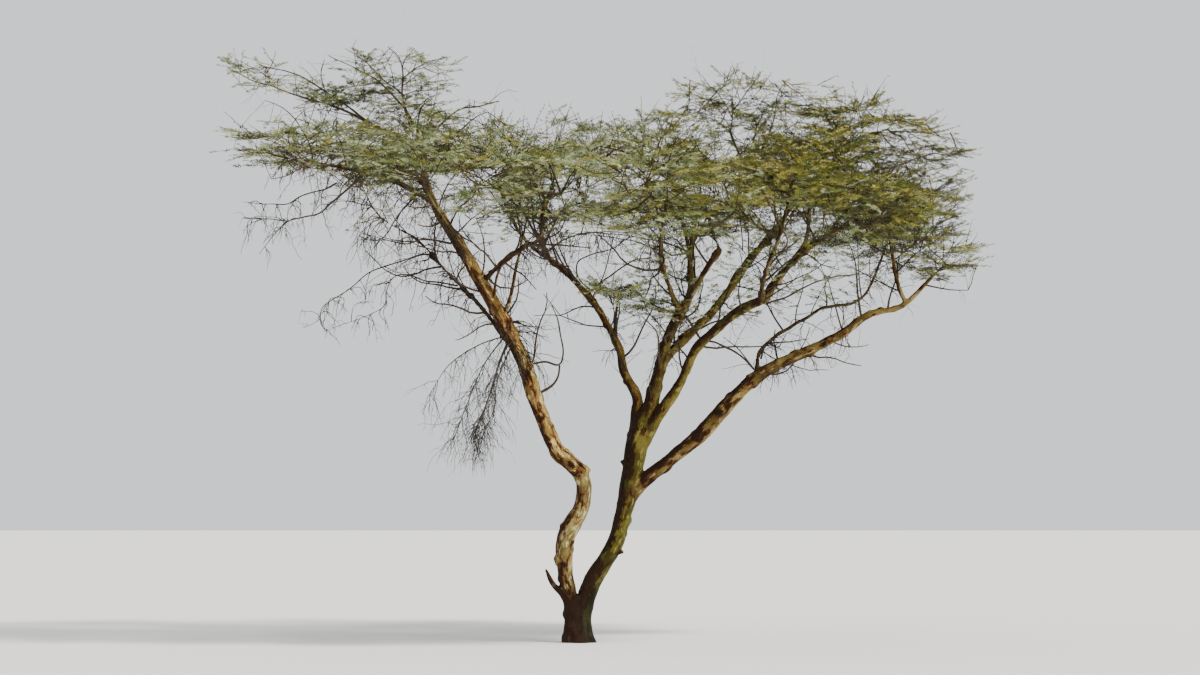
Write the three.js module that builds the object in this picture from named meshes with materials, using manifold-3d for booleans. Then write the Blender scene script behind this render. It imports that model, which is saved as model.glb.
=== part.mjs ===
// An acacia tree of the yellow-barked kind, 12 m tall, with a short trunk that forks low into two stems,
// long boughs that spread like the ribs of an umbrella, and flat masses of fine foliage on top.
// Millimetres, +Z up, with the origin at the middle of the flat cut at ground level.
// +X runs to the right across the tree's widest side, and +Y away from the viewer.
import * as THREE from "three";
import { mergeVertices } from "three/addons/utils/BufferGeometryUtils.js";
import Module from "manifold-3d";

const METRE = 1000;
const GAP = 0.4; // clearance between touching pieces, mm

// The tree is measured as it looks from this eye point: metres across and up in the upright plane
// through the trunk. A point in front of or behind that plane lies on the same line of sight.
const EYE = { across: 0.35, up: 2.75, distance: 58 };

const TRUNK_SIDES = 15;
const BOUGH_SIDES = 8;
const THIN_SIDES = 6;
const THIN_RADIUS = 0.08; // metres, below which a limb has fewer sides
const STEP_LENGTH = 0.85; // metres of limb for each ring of its mesh

// How often the faces of an icosahedron are divided for a foliage mass, and for a small one.
const MASS_DETAIL = 2;
const SMALL_MASS_DETAIL = 1;
const SMALL_MASS = 1.46; // half its width in metres, below which a mass is small

const ROOT_LOBES = 5;
const ROOT_FLARE = 0.1; // how far the root lobes stand out at ground level, metres
const FLARE_HEIGHT = 0.22; // height in which the flare falls to about a third, metres

const BARK = { color: 0x9a8a4a, roughness: 0.85, metalness: 0 };
const DEAD_WOOD = { color: 0x6b6154, roughness: 0.95, metalness: 0 };
const FOLIAGE = { color: 0x747a3c, roughness: 0.8, metalness: 0 };

const TRUNK = {
  path: [[0, 0, 0], [-0.01, 0.54, 0], [0.03, 1.1, 0]],
  thick: [0.3, 0.255],
};

// Every limb: the points of its centreline as [across, up, away] and its radius at both ends, in metres.
// "into" names the foliage mass that it ends in, and "knot" swells it at a share of its length.
const LIMBS = {
  left_stem: {
    path: [
      [-0.07, 0.81, 0], [-0.25, 1.4, -0.05], [-0.24, 2.02, -0.1],
      [0.07, 2.65, -0.2], [0.15, 3.19, -0.3], [0.02, 3.46, -0.33],
    ],
    thick: [0.15, 0.165],
    knot: { at: 0.5, swell: 0.025 },
  },
  left_bough: {
    path: [
      [0.09, 3.4, -0.33], [-0.43, 3.89, -0.45], [-0.81, 4.77, -0.6],
      [-1.11, 5.67, -0.7], [-1.53, 6.52, -0.8],
    ],
    thick: [0.165, 0.15],
  },
  left_upper_bough: {
    path: [
      [-1.48, 6.43, -0.8], [-1.91, 7.2, -0.95], [-2.34, 7.92, -1.1],
      [-3.0, 9.02, -1.4], [-3.15, 9.72, -1.2],
    ],
    thick: [0.15, 0.07],
    into: "foliage_left_middle",
  },
  left_side_bough: {
    path: [[-2.95, 8.91, -1.4], [-3.6, 9.27, -1.8], [-4.46, 9.54, -2.0], [-5.0, 9.64, -2.0]],
    thick: [0.075, 0.035],
    into: "foliage_left_low",
  },
  left_arch_bough: {
    path: [
      [-1.93, 7.29, -0.95], [-1.53, 7.67, -1.6], [-1.08, 8.01, -2.3],
      [-0.77, 8.19, -3.0], [-0.67, 9.0, -3.5],
    ],
    thick: [0.065, 0.045],
    into: "foliage_inner_left_front",
  },
  left_back_bough: {
    path: [
      [-1.46, 6.12, -0.75], [-2.02, 6.84, 0], [-2.65, 7.47, 0.8],
      [-3.24, 8.12, 1.6], [-4.09, 8.69, 2.5], [-4.6, 9.8, 2.9],
    ],
    thick: [0.06, 0.03],
    into: "foliage_left_back",
  },
  left_front_bough: {
    path: [[-2.25, 7.79, -1.1], [-2.56, 8.32, -1.8], [-2.88, 8.78, -2.6], [-3.3, 9.5, -3.2]],
    thick: [0.06, 0.035],
    into: "foliage_left_front",
  },
  right_stem: {
    path: [
      [0.12, 0.81, 0], [0.3, 1.2, 0], [0.77, 2.05, 0.06],
      [0.98, 2.85, 0.1], [1.13, 3.65, 0.13], [1.3, 4.45, 0.15],
    ],
    thick: [0.185, 0.19],
    knot: { at: 0.9, swell: 0.06 },
  },
  inner_left_bough: {
    path: [
      [1.16, 4.3, 0.18], [1.22, 4.95, 0.3], [0.94, 5.44, 0.5],
      [0.81, 6.01, 0.8], [0.27, 6.97, 1.3],
    ],
    thick: [0.105, 0.075],
  },
  inner_left_upper_bough: {
    path: [
      [0.33, 6.86, 1.24], [-0.2, 7.45, 1.8], [-0.66, 7.88, 2.2],
      [-0.72, 8.6, 2.6], [-0.5, 9.3, 2.8],
    ],
    thick: [0.075, 0.045],
    into: "foliage_inner_left_back",
  },
  inner_back_bough: {
    path: [[-0.32, 7.54, 1.9], [-0.94, 8.01, 2.6], [-1.3, 8.5, 3.3], [-1.7, 9.6, 4.2]],
    thick: [0.055, 0.035],
    into: "foliage_far_left_back",
  },
  middle_bough: {
    path: [[1.4, 4.35, 0.13], [1.56, 5.1, 0.1], [1.82, 6.12, -0.1], [2.11, 6.7, -0.5]],
    thick: [0.15, 0.11],
  },
  middle_back_bough: {
    path: [[2.07, 6.6, -0.45], [2.28, 7.11, 0], [2.29, 7.88, 1.0], [2.5, 9.2, 2.6]],
    thick: [0.09, 0.045],
    into: "foliage_middle_back",
  },
  far_back_bough: {
    path: [[2.29, 7.79, 0.9], [2.16, 8.37, 2.2], [2.02, 8.87, 3.3], [1.85, 9.5, 4.6]],
    thick: [0.055, 0.035],
    into: "foliage_far_back",
  },
  middle_front_bough: {
    path: [[2.1, 6.61, -0.45], [1.87, 7.15, -1.2], [1.67, 7.92, -2.4], [1.84, 9.1, -4.0]],
    thick: [0.065, 0.04],
    into: "foliage_middle_front",
  },
  middle_short_bough: {
    path: [[2.15, 6.72, -0.48], [2.52, 7.4, -1.0], [2.83, 7.88, -1.4], [2.55, 9.0, -1.5]],
    thick: [0.08, 0.04],
    into: "foliage_middle",
  },
  right_inner_bough: {
    path: [
      [1.73, 5.71, 0.05], [2.25, 6.2, 0.4], [2.83, 6.79, 0.95],
      [3.46, 7.69, 1.7], [4.09, 8.46, 2.5], [4.72, 9.4, 3.8],
    ],
    thick: [0.105, 0.06],
    into: "foliage_right_back",
  },
  right_outer_bough: {
    path: [
      [1.5, 4.3, 0.1], [2.07, 5.22, -0.15], [2.36, 5.87, -0.45],
      [2.79, 6.3, -0.8], [3.31, 6.72, -1.2], [3.82, 6.94, -1.55],
    ],
    thick: [0.115, 0.09],
  },
  right_outer_tip: {
    path: [[3.78, 6.92, -1.52], [4.09, 7.38, -1.8], [4.72, 8.01, -2.3], [5.8, 8.6, -2.8]],
    thick: [0.09, 0.05],
    into: "foliage_outer_front",
  },
  right_rising_bough: {
    path: [[4.35, 7.62, -2.0], [4.65, 8.2, -1.9], [4.75, 9.3, -1.6]],
    thick: [0.06, 0.045],
    into: "foliage_right_inner",
  },
  right_front_bough: {
    path: [[3.69, 6.87, -1.45], [3.82, 7.51, -2.6], [4.09, 8.19, -3.4], [4.3, 9.0, -4.0]],
    thick: [0.055, 0.038],
    into: "foliage_right_front",
  },
  lower_right_bough: {
    path: [[1.15, 3.1, 0.12], [1.84, 3.65, 0.14], [2.75, 4.46, 0.18], [3.55, 5.32, 0.22]],
    thick: [0.145, 0.14],
    knot: { at: 0.65, swell: 0.015 },
  },
  lower_right_middle_bough: {
    path: [[3.49, 5.25, 0.22], [3.92, 5.54, 0.27], [4.63, 5.86, 0.38], [5.44, 6.27, 0.5]],
    thick: [0.13, 0.09],
  },
  lower_right_tip: {
    path: [[5.38, 6.24, 0.5], [5.89, 6.61, 0.6], [6.61, 6.82, 0.76], [7.3, 7.5, 0.9]],
    thick: [0.09, 0.045],
    into: "foliage_right_tip",
  },
  right_lift_bough: {
    path: [[6.66, 6.84, 0.77], [6.48, 7.29, 0.6], [6.3, 8.4, 0.35]],
    thick: [0.05, 0.04],
    into: "foliage_right_low",
  },
  thin_right_bough: {
    path: [
      [3.6, 5.36, 0.22], [3.78, 5.98, 0.45], [4.91, 6.71, 1.6],
      [5.85, 7.06, 2.5], [6.5, 8.8, 3.1],
    ],
    thick: [0.05, 0.028],
    into: "foliage_outer_back",
  },
  trunk_stub: {
    path: [[-0.2, 0.86, -0.02], [-0.48, 1.15, -0.05], [-0.65, 1.48, -0.05]],
    thick: [0.07, 0.035],
  },
};

// Bare dead twigs that hang from the left bough in one tangle: a spindle round them.
const DEAD_TANGLE = {
  path: [[-1.36, 6.1, -0.72], [-1.75, 5.6, -0.8], [-2.1, 4.75, -0.9], [-2.5, 3.75, -0.95]],
  thick: [0.06, 0.12],
  knot: { at: 0.5, swell: 0.36 },
};

// Every foliage mass: its middle as [across, up, away], its half sizes as [across, up, away] and the
// rise of its plate for each metre to the right, in metres.
const MASSES = {
  foliage_left_middle: { middle: [-3.1, 9.98, -0.4], half: [1.5, 1.0, 1.9], rise: 0 },
  foliage_left_low: { middle: [-5.5, 10.0, -1.6], half: [1.75, 0.55, 1.7], rise: 0 },
  foliage_left_high: { middle: [-5.4, 11.1, 0.5], half: [1.75, 0.4, 1.3], rise: -0.3 },
  foliage_left_top: { middle: [-3.73, 11.35, 0.2], half: [1.3, 0.8, 1.2], rise: 0 },
  foliage_left_back: { middle: [-4.6, 10.0, 2.7], half: [1.85, 0.6, 1.9], rise: -0.05 },
  foliage_left_front: { middle: [-3.4, 9.55, -3.2], half: [1.7, 0.75, 1.8], rise: -0.05 },
  foliage_inner_left: { middle: [-1.3, 9.3, -0.1], half: [1.6, 1.2, 2.1], rise: -0.05 },
  foliage_inner_left_back: { middle: [-0.2, 9.35, 2.5], half: [1.8, 1.3, 1.8], rise: 0 },
  foliage_inner_left_front: { middle: [-0.85, 9.2, -3.6], half: [1.75, 1.1, 1.65], rise: 0 },
  foliage_far_left_back: { middle: [-2.2, 9.86, 3.9], half: [1.8, 0.7, 2.0], rise: 0 },
  foliage_middle: { middle: [1.57, 9.35, -0.9], half: [1.65, 1.4, 1.9], rise: 0.1 },
  foliage_middle_top: { middle: [3.28, 10.71, 0], half: [1.65, 0.75, 1.8], rise: 0.05 },
  foliage_middle_back: { middle: [2.65, 9.1, 2.8], half: [1.65, 1.25, 1.8], rise: 0 },
  foliage_middle_front: { middle: [1.93, 8.95, -4.1], half: [1.85, 1.05, 1.65], rise: 0 },
  foliage_far_back: { middle: [1.6, 9.72, 5.0], half: [2.0, 0.75, 1.5], rise: 0 },
  foliage_right_inner: { middle: [4.54, 9.15, -1.4], half: [1.65, 1.3, 1.9], rise: 0 },
  foliage_right_high: { middle: [5.1, 10.3, 1.6], half: [1.65, 0.8, 1.8], rise: 0.05 },
  foliage_right_low: { middle: [6.05, 8.46, 0.3], half: [1.6, 1.05, 1.7], rise: -0.1 },
  foliage_right_top: { middle: [6.7, 10.0, 0.6], half: [1.35, 0.72, 1.6], rise: -0.1 },
  foliage_right_front: { middle: [4.32, 8.9, -4.0], half: [1.75, 0.8, 1.6], rise: -0.05 },
  foliage_right_back: { middle: [4.77, 9.4, 4.4], half: [1.8, 0.8, 1.6], rise: 0 },
  foliage_outer_front: { middle: [6.17, 8.5, -2.8], half: [1.45, 0.75, 1.5], rise: -0.1 },
  foliage_outer_back: { middle: [6.61, 9.0, 3.0], half: [1.5, 0.7, 1.6], rise: -0.1 },
  foliage_right_tip: { middle: [7.33, 7.65, 0.9], half: [0.95, 0.5, 1.2], rise: 0.1 },
  foliage_small_inner: { middle: [1.12, 6.93, -0.55], half: [0.9, 0.25, 0.6], rise: -0.42 },
};

const wasm = await Module();
wasm.setup();

// The real place, in millimetres, of a point that is seen at [across, up] and lies that far away.
function place([across, up, away]) {
  const reach = 1 + away / EYE.distance;
  return new THREE.Vector3(
    EYE.across + (across - EYE.across) * reach,
    away,
    EYE.up + (up - EYE.up) * reach,
  ).multiplyScalar(METRE);
}

// The radius of a limb, in metres, at a share of its length.
function radiusAt({ thick, knot }, share) {
  const bump = knot ? knot.swell * Math.exp(-(((share - knot.at) / 0.22) ** 2)) : 0;
  return THREE.MathUtils.lerp(thick[0], thick[1], share) + bump;
}

// A closed spindle with its length along Y from 0 to 1, one ring at each step.
function spindle(limb, steps, sides, grow) {
  const profile = [new THREE.Vector2(0, 0)];
  for (let i = 0; i <= steps; i++) {
    profile.push(new THREE.Vector2(radiusAt(limb, i / steps) * METRE + grow, i / steps));
  }
  profile.push(new THREE.Vector2(0, 1));
  return new THREE.LatheGeometry(profile, sides);
}

// Moves each vertex with move(x, share, z), which says where that point of the spindle lies.
function reshape(geometry, move) {
  const position = geometry.getAttribute("position");
  for (let i = 0; i < position.count; i++) {
    const to = move(position.getX(i), position.getY(i), position.getZ(i));
    position.setXYZ(i, to.x, to.y, to.z);
  }
  return geometry;
}

// How far a grown limb's end reaches past the limb's own: backward at its foot, forward at its tip.
function overshoot(share, grow) {
  if (share === 0) return -grow;
  return share === 1 ? grow : 0;
}

// A limb laid along a smooth curve through its points.
function limbGeometry(limb, grow = 0) {
  const curve = new THREE.CatmullRomCurve3(limb.path.map(place), false, "centripetal");
  const steps = Math.max(3, Math.round(curve.getLength() / METRE / STEP_LENGTH));
  const sides = limb.thick[0] > THIN_RADIUS ? BOUGH_SIDES : THIN_SIDES;
  const frames = curve.computeFrenetFrames(steps);
  return reshape(spindle(limb, steps, sides, grow), (x, share, z) => {
    const ring = Math.round(share * steps);
    return curve
      .getPointAt(share)
      .addScaledVector(frames.tangents[ring], overshoot(share, grow))
      .addScaledVector(frames.normals[ring], x)
      .addScaledVector(frames.binormals[ring], -z);
  });
}

// The trunk has level sections, so that its foot is one flat cut, and lobes where the roots begin.
function trunkGeometry(grow = 0) {
  const curve = new THREE.CatmullRomCurve3(TRUNK.path.map(place));
  return reshape(spindle(TRUNK, 6, TRUNK_SIDES, grow), (x, share, z) => {
    const centre = curve.getPointAt(share);
    const height = centre.z / METRE;
    const lobe = 0.6 + 0.4 * Math.cos(ROOT_LOBES * Math.atan2(z, x) + 0.6);
    const flare = ROOT_FLARE * lobe * Math.exp(-height / FLARE_HEIGHT);
    const wide = 1 + flare / radiusAt(TRUNK, share);
    return centre.add(new THREE.Vector3(x * wide, -z * wide, overshoot(share, grow)));
  });
}

// An uneven, flattened mass: a ball drawn out into lobes, with a flatter underside.
function massGeometry({ middle, half, rise }, order, grow = 0) {
  const [halfAcross, halfUp, halfAway] = half;
  const turn = order * 2.4; // sets the lobes of each mass differently
  const centre = place(middle);
  const ball = new THREE.IcosahedronGeometry(1, halfAcross < SMALL_MASS ? SMALL_MASS_DETAIL : MASS_DETAIL);
  return reshape(ball, (x, y, z) => {
    const angle = Math.atan2(y, x);
    const lobes = 1 + 0.1 * Math.sin(3 * angle + turn) + 0.06 * Math.sin(5 * angle + 2 * turn);
    const bumps = 1 + 0.14 * Math.sin(2 * angle + 3 * turn) * (1 - z * z);
    const under = z < 0 ? 0.75 : 1;
    const across = x * lobes * (halfAcross * METRE + grow);
    const away = y * lobes * (halfAway * METRE + grow);
    const up = z * bumps * under * (halfUp * METRE + grow / under) + rise * across;
    return new THREE.Vector3(across, away, up).add(centre);
  });
}

// A closed solid of a geometry, for cutting and joining.
function solidOf(geometry) {
  geometry.deleteAttribute("normal");
  geometry.deleteAttribute("uv");
  const merged = mergeVertices(geometry, 1e-3);
  return new wasm.Manifold(
    new wasm.Mesh({
      numProp: 3,
      vertProperties: merged.getAttribute("position").array,
      triVerts: new Uint32Array(merged.index.array),
    }),
  );
}

// The largest of the separate bodies that a cut leaves.
function mainBody(solid) {
  return solid.decompose().reduce((a, b) => (b.volume() > a.volume() ? b : a));
}

function meshOf(name, solid, finish) {
  const { vertProperties, triVerts } = solid.getMesh();
  const geometry = new THREE.BufferGeometry()
    .setAttribute("position", new THREE.BufferAttribute(vertProperties, 3))
    .setIndex(new THREE.BufferAttribute(triVerts, 1));
  geometry.computeVertexNormals();
  const mesh = new THREE.Mesh(geometry, new THREE.MeshStandardMaterial(finish));
  mesh.name = name;
  return mesh;
}

// Woody pieces in order from the ground up, each with the slightly grown form that cuts its neighbours.
const wood = [{ name: "trunk", solid: solidOf(trunkGeometry()), cutter: solidOf(trunkGeometry(GAP)) }];
for (const [name, limb] of Object.entries({ ...LIMBS, dead_twig_tangle: DEAD_TANGLE })) {
  wood.push({
    name,
    into: limb.into,
    solid: solidOf(limbGeometry(limb)),
    cutter: solidOf(limbGeometry(limb, GAP)),
  });
}
const foliage = Object.entries(MASSES).map(([name, mass], order) => ({
  name,
  solid: solidOf(massGeometry(mass, order)),
  cutter: solidOf(massGeometry(mass, order, GAP)),
}));

// A limb starts at the surface of the one it grows from, and ends where it enters its own mass.
wood.forEach((piece, i) => {
  for (const older of wood.slice(0, i)) piece.solid = piece.solid.subtract(older.cutter);
  const mass = foliage.find(({ name }) => name === piece.into);
  if (mass) piece.solid = piece.solid.subtract(mass.cutter);
  piece.solid = mainBody(piece.solid);
});

// A mass is cut round the limbs that pass it and round the masses before it.
foliage.forEach((mass, i) => {
  for (const older of foliage.slice(0, i)) mass.solid = mass.solid.subtract(older.cutter);
  for (const limb of wood) {
    if (limb.into !== mass.name) mass.solid = mass.solid.subtract(limb.cutter);
  }
  mass.solid = mainBody(mass.solid);
});

const tree = new THREE.Group();
tree.name = "acacia_tree";
for (const { name, solid } of wood) {
  tree.add(meshOf(name, solid, name === "dead_twig_tangle" ? DEAD_WOOD : BARK));
}
for (const { name, solid } of foliage) tree.add(meshOf(name, solid, FOLIAGE));

export default tree;
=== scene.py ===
"""A yellow-barked acacia tree with a flat, open crown: bark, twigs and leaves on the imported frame."""

import math

import bmesh
import bpy
import numpy as np
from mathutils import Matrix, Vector, kdtree, noise
from mathutils.bvhtree import BVHTree


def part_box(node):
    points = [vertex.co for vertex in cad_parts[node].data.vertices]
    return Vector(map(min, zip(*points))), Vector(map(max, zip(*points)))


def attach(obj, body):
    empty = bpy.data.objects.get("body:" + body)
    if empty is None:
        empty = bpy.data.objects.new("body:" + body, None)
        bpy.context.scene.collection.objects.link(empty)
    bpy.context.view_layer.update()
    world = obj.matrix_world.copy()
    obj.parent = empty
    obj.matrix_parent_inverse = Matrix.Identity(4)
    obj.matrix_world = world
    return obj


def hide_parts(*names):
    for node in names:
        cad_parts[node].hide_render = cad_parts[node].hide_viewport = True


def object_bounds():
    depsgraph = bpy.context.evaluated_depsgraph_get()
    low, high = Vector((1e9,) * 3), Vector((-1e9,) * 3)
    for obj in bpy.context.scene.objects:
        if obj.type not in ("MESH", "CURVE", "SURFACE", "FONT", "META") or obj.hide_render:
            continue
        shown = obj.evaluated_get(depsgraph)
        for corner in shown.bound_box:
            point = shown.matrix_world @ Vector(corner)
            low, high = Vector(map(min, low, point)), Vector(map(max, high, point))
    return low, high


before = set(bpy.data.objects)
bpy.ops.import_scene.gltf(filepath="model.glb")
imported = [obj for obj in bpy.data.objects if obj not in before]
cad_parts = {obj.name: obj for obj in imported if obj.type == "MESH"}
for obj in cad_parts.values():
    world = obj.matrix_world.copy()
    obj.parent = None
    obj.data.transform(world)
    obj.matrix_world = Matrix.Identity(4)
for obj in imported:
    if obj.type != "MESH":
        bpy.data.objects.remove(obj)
cad_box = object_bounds()
SEED = 2026
random = np.random.default_rng(SEED)
noise.seed_set(SEED)  # otherwise noise_vector() differs from run to run

# Points of the tree are noted as they look from this eye point: metres across and up in the upright
# plane through the trunk, and metres away from it. place() moves them along the line of sight.
EYE_ACROSS = 0.35
EYE_UP = 2.75
EYE_DISTANCE = 58.0

# The centreline of each limb as [across, up, away, radius], in metres.
LIMBS = {
    "left_stem": [
        [-0.08, 0.1, 0, 0.16], [-0.12, 0.6, 0, 0.15], [-0.17, 1, 0, 0.145], [-0.25, 1.4, -0.05, 0.155],
        [-0.26, 2.02, -0.1, 0.185], [-0.1, 2.4, -0.15, 0.19], [0.07, 2.7, -0.2, 0.16],
        [0.13, 3.15, -0.3, 0.155], [0.02, 3.46, -0.33, 0.18],
    ],
    "left_bough": [
        [0.09, 3.4, -0.33, 0.16], [-0.2, 3.66, -0.39, 0.17], [-0.43, 3.89, -0.45, 0.155],
        [-0.81, 4.77, -0.6, 0.155], [-1.11, 5.67, -0.7, 0.15], [-1.53, 6.52, -0.8, 0.165],
    ],
    "left_upper_bough": [
        [-1.48, 6.43, -0.8, 0.155], [-1.91, 7.2, -0.95, 0.14], [-2.34, 7.92, -1.1, 0.125],
        [-3, 9.02, -1.4, 0.09], [-3.15, 9.72, -1.2, 0.06], [-3.28, 10.48, -0.8, 0.04],
    ],
    "left_side_bough": [
        [-2.95, 8.91, -1.4, 0.07], [-3.6, 9.27, -1.8, 0.055], [-4.46, 9.54, -2, 0.045],
        [-5.89, 9.8, -1.9, 0.02],
    ],
    "left_arch_bough": [
        [-1.93, 7.29, -0.95, 0.065], [-1.53, 7.67, -1.6, 0.055], [-1.08, 8.01, -2.3, 0.055],
        [-0.77, 8.19, -3, 0.05], [-0.67, 9, -3.5, 0.035],
    ],
    "left_back_bough": [
        [-1.46, 6.12, -0.75, 0.058], [-2.02, 6.84, 0, 0.045], [-2.65, 7.47, 0.8, 0.038],
        [-3.24, 8.12, 1.6, 0.03], [-4.09, 8.69, 2.5, 0.025], [-4.6, 9.8, 2.9, 0.018],
    ],
    "left_front_bough": [
        [-2.25, 7.79, -1.1, 0.055], [-2.56, 8.32, -1.8, 0.045], [-2.88, 8.78, -2.6, 0.04],
        [-3.3, 9.5, -3.2, 0.03],
    ],
    "right_stem": [
        [0.09, 0.1, 0, 0.2], [0.12, 0.6, 0, 0.17], [0.29, 1.2, 0, 0.185], [0.56, 1.65, 0.03, 0.175],
        [0.78, 2.05, 0.06, 0.17], [0.98, 2.85, 0.1, 0.185], [1.13, 3.65, 0.13, 0.22],
        [1.22, 4.1, 0.14, 0.225], [1.3, 4.45, 0.14, 0.19], [1.37, 4.75, 0.13, 0.12],
    ],
    "inner_left_bough": [
        [1.14, 4.1, 0.18, 0.13], [1.19, 4.6, 0.22, 0.12], [1.2, 4.95, 0.3, 0.1], [0.94, 5.44, 0.5, 0.095],
        [0.81, 6.01, 0.8, 0.08], [0.27, 6.97, 1.3, 0.075],
    ],
    "inner_left_upper_bough": [
        [0.33, 6.86, 1.24, 0.075], [-0.2, 7.45, 1.8, 0.07], [-0.66, 7.88, 2.2, 0.062],
        [-0.72, 8.6, 2.6, 0.05], [-0.5, 9.3, 2.8, 0.035],
    ],
    "inner_back_bough": [
        [-0.32, 7.54, 1.9, 0.05], [-0.94, 8.01, 2.6, 0.045], [-1.3, 8.5, 3.3, 0.038],
        [-1.7, 9.6, 4.2, 0.028],
    ],
    "middle_bough": [
        [1.34, 4.2, 0.13, 0.17], [1.56, 5.1, 0.1, 0.14], [1.82, 6.12, -0.1, 0.115],
        [2.11, 6.7, -0.5, 0.115],
    ],
    "middle_back_bough": [
        [2.07, 6.6, -0.45, 0.085], [2.28, 7.11, 0, 0.075], [2.29, 7.88, 1, 0.06], [2.5, 9.2, 2.6, 0.035],
    ],
    "far_back_bough": [
        [2.29, 7.79, 0.9, 0.05], [2.16, 8.37, 2.2, 0.042], [2.02, 8.87, 3.3, 0.036],
        [1.85, 9.5, 4.6, 0.025],
    ],
    "middle_front_bough": [
        [2.1, 6.61, -0.45, 0.062], [1.87, 7.15, -1.2, 0.05], [1.67, 7.92, -2.4, 0.042],
        [1.84, 9.1, -4, 0.03],
    ],
    "middle_short_bough": [
        [2.15, 6.72, -0.48, 0.075], [2.52, 7.4, -1, 0.06], [2.8, 7.84, -1.38, 0.058],
        [2.86, 7.95, -1.42, 0.038], [2.7, 8.4, -1.45, 0.034], [2.55, 9, -1.5, 0.03],
    ],
    "right_inner_bough": [
        [1.73, 5.71, 0.05, 0.11], [2.25, 6.2, 0.4, 0.095], [2.83, 6.79, 0.95, 0.09],
        [3.46, 7.69, 1.7, 0.08], [4.09, 8.46, 2.5, 0.06], [4.72, 9.4, 3.8, 0.04],
    ],
    "right_outer_bough": [
        [1.24, 3.8, 0.12, 0.1], [1.42, 4.2, 0.07, 0.125], [1.66, 4.6, 0, 0.12], [2.07, 5.22, -0.15, 0.1],
        [2.36, 5.87, -0.45, 0.097], [2.79, 6.3, -0.8, 0.096], [3.31, 6.72, -1.2, 0.092],
        [3.82, 6.94, -1.55, 0.092],
    ],
    "right_outer_tip": [
        [3.78, 6.92, -1.52, 0.09], [4.09, 7.38, -1.8, 0.075], [4.72, 8.01, -2.3, 0.065],
        [5.8, 8.6, -2.8, 0.04],
    ],
    "right_rising_bough": [[4.35, 7.62, -2, 0.058], [4.65, 8.2, -1.9, 0.05], [4.75, 9.3, -1.6, 0.035]],
    "right_front_bough": [
        [3.69, 6.87, -1.45, 0.052], [3.82, 7.51, -2.6, 0.045], [4.09, 8.19, -3.4, 0.038],
        [4.3, 9, -4, 0.028],
    ],
    "lower_right_bough": [
        [1.05, 3, 0.12, 0.16], [1.5, 3.38, 0.13, 0.145], [1.84, 3.65, 0.14, 0.14], [2.5, 4.2, 0.17, 0.155],
        [2.95, 4.7, 0.18, 0.15], [3.55, 5.32, 0.22, 0.14],
    ],
    "lower_right_middle_bough": [
        [3.49, 5.25, 0.22, 0.135], [3.92, 5.54, 0.27, 0.122], [4.63, 5.86, 0.38, 0.112],
        [5.44, 6.27, 0.5, 0.09],
    ],
    "lower_right_tip": [
        [5.38, 6.24, 0.5, 0.088], [5.89, 6.61, 0.6, 0.078], [6.61, 6.82, 0.76, 0.062],
        [7.3, 7.5, 0.9, 0.035],
    ],
    "right_lift_bough": [[6.66, 6.84, 0.77, 0.048], [6.48, 7.29, 0.6, 0.042], [6.3, 8.4, 0.35, 0.03]],
    "thin_right_bough": [
        [3.6, 5.36, 0.22, 0.045], [3.78, 5.98, 0.45, 0.038], [4.91, 6.71, 1.6, 0.034],
        [5.85, 7.06, 2.5, 0.03], [6.5, 8.8, 3.1, 0.02],
    ],
    "trunk_stub": [[-0.2, 0.86, -0.02, 0.07], [-0.48, 1.15, -0.05, 0.055], [-0.65, 1.48, -0.05, 0.035]],
}

TRUNK = [[0, -0.15, 0, 0.3], [0, 0.3, 0, 0.27], [-0.01, 0.6, 0, 0.24], [0.01, 0.94, 0, 0.17]]
ROOT_LOBES = 5
ROOT_FLARE = 0.1  # how far the lobes stand out at the ground
FLARE_HEIGHT = 0.22
TRUNK_SPACING = 0.03
TRUNK_SIDES = 48

# Dead stubs and knots that stand out from the stems.
STUBS = [
    [[-0.05, 3.36, -0.33, 0.08], [0.18, 3.44, -0.36, 0.07], [0.27, 3.5, -0.37, 0.05]],
    [[-0.2, 2.3, -0.1, 0.09], [-0.33, 2.34, -0.14, 0.075], [-0.36, 2.36, -0.15, 0.06]],
    [[1.1, 3.55, 0.1, 0.09], [0.9, 3.62, 0.05, 0.06], [0.86, 3.66, 0.04, 0.045]],
    [[0.65, 1.88, 0.03, 0.09], [0.88, 1.81, -0.04, 0.06], [0.93, 1.8, -0.05, 0.045]],
    [[-1.05, 5.5, -0.7, 0.08], [-0.9, 5.6, -0.78, 0.055], [-0.87, 5.63, -0.8, 0.045]],
    [[-0.35, 1.65, -0.1, 0.12], [-0.44, 1.72, -0.2, 0.08]],
    [[-0.5, 4.08, -0.5, 0.1], [-0.43, 4.12, -0.57, 0.08]],
    [[2.9, 4.7, 0.1, 0.1], [2.95, 4.62, -0.03, 0.08]],
]

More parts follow.
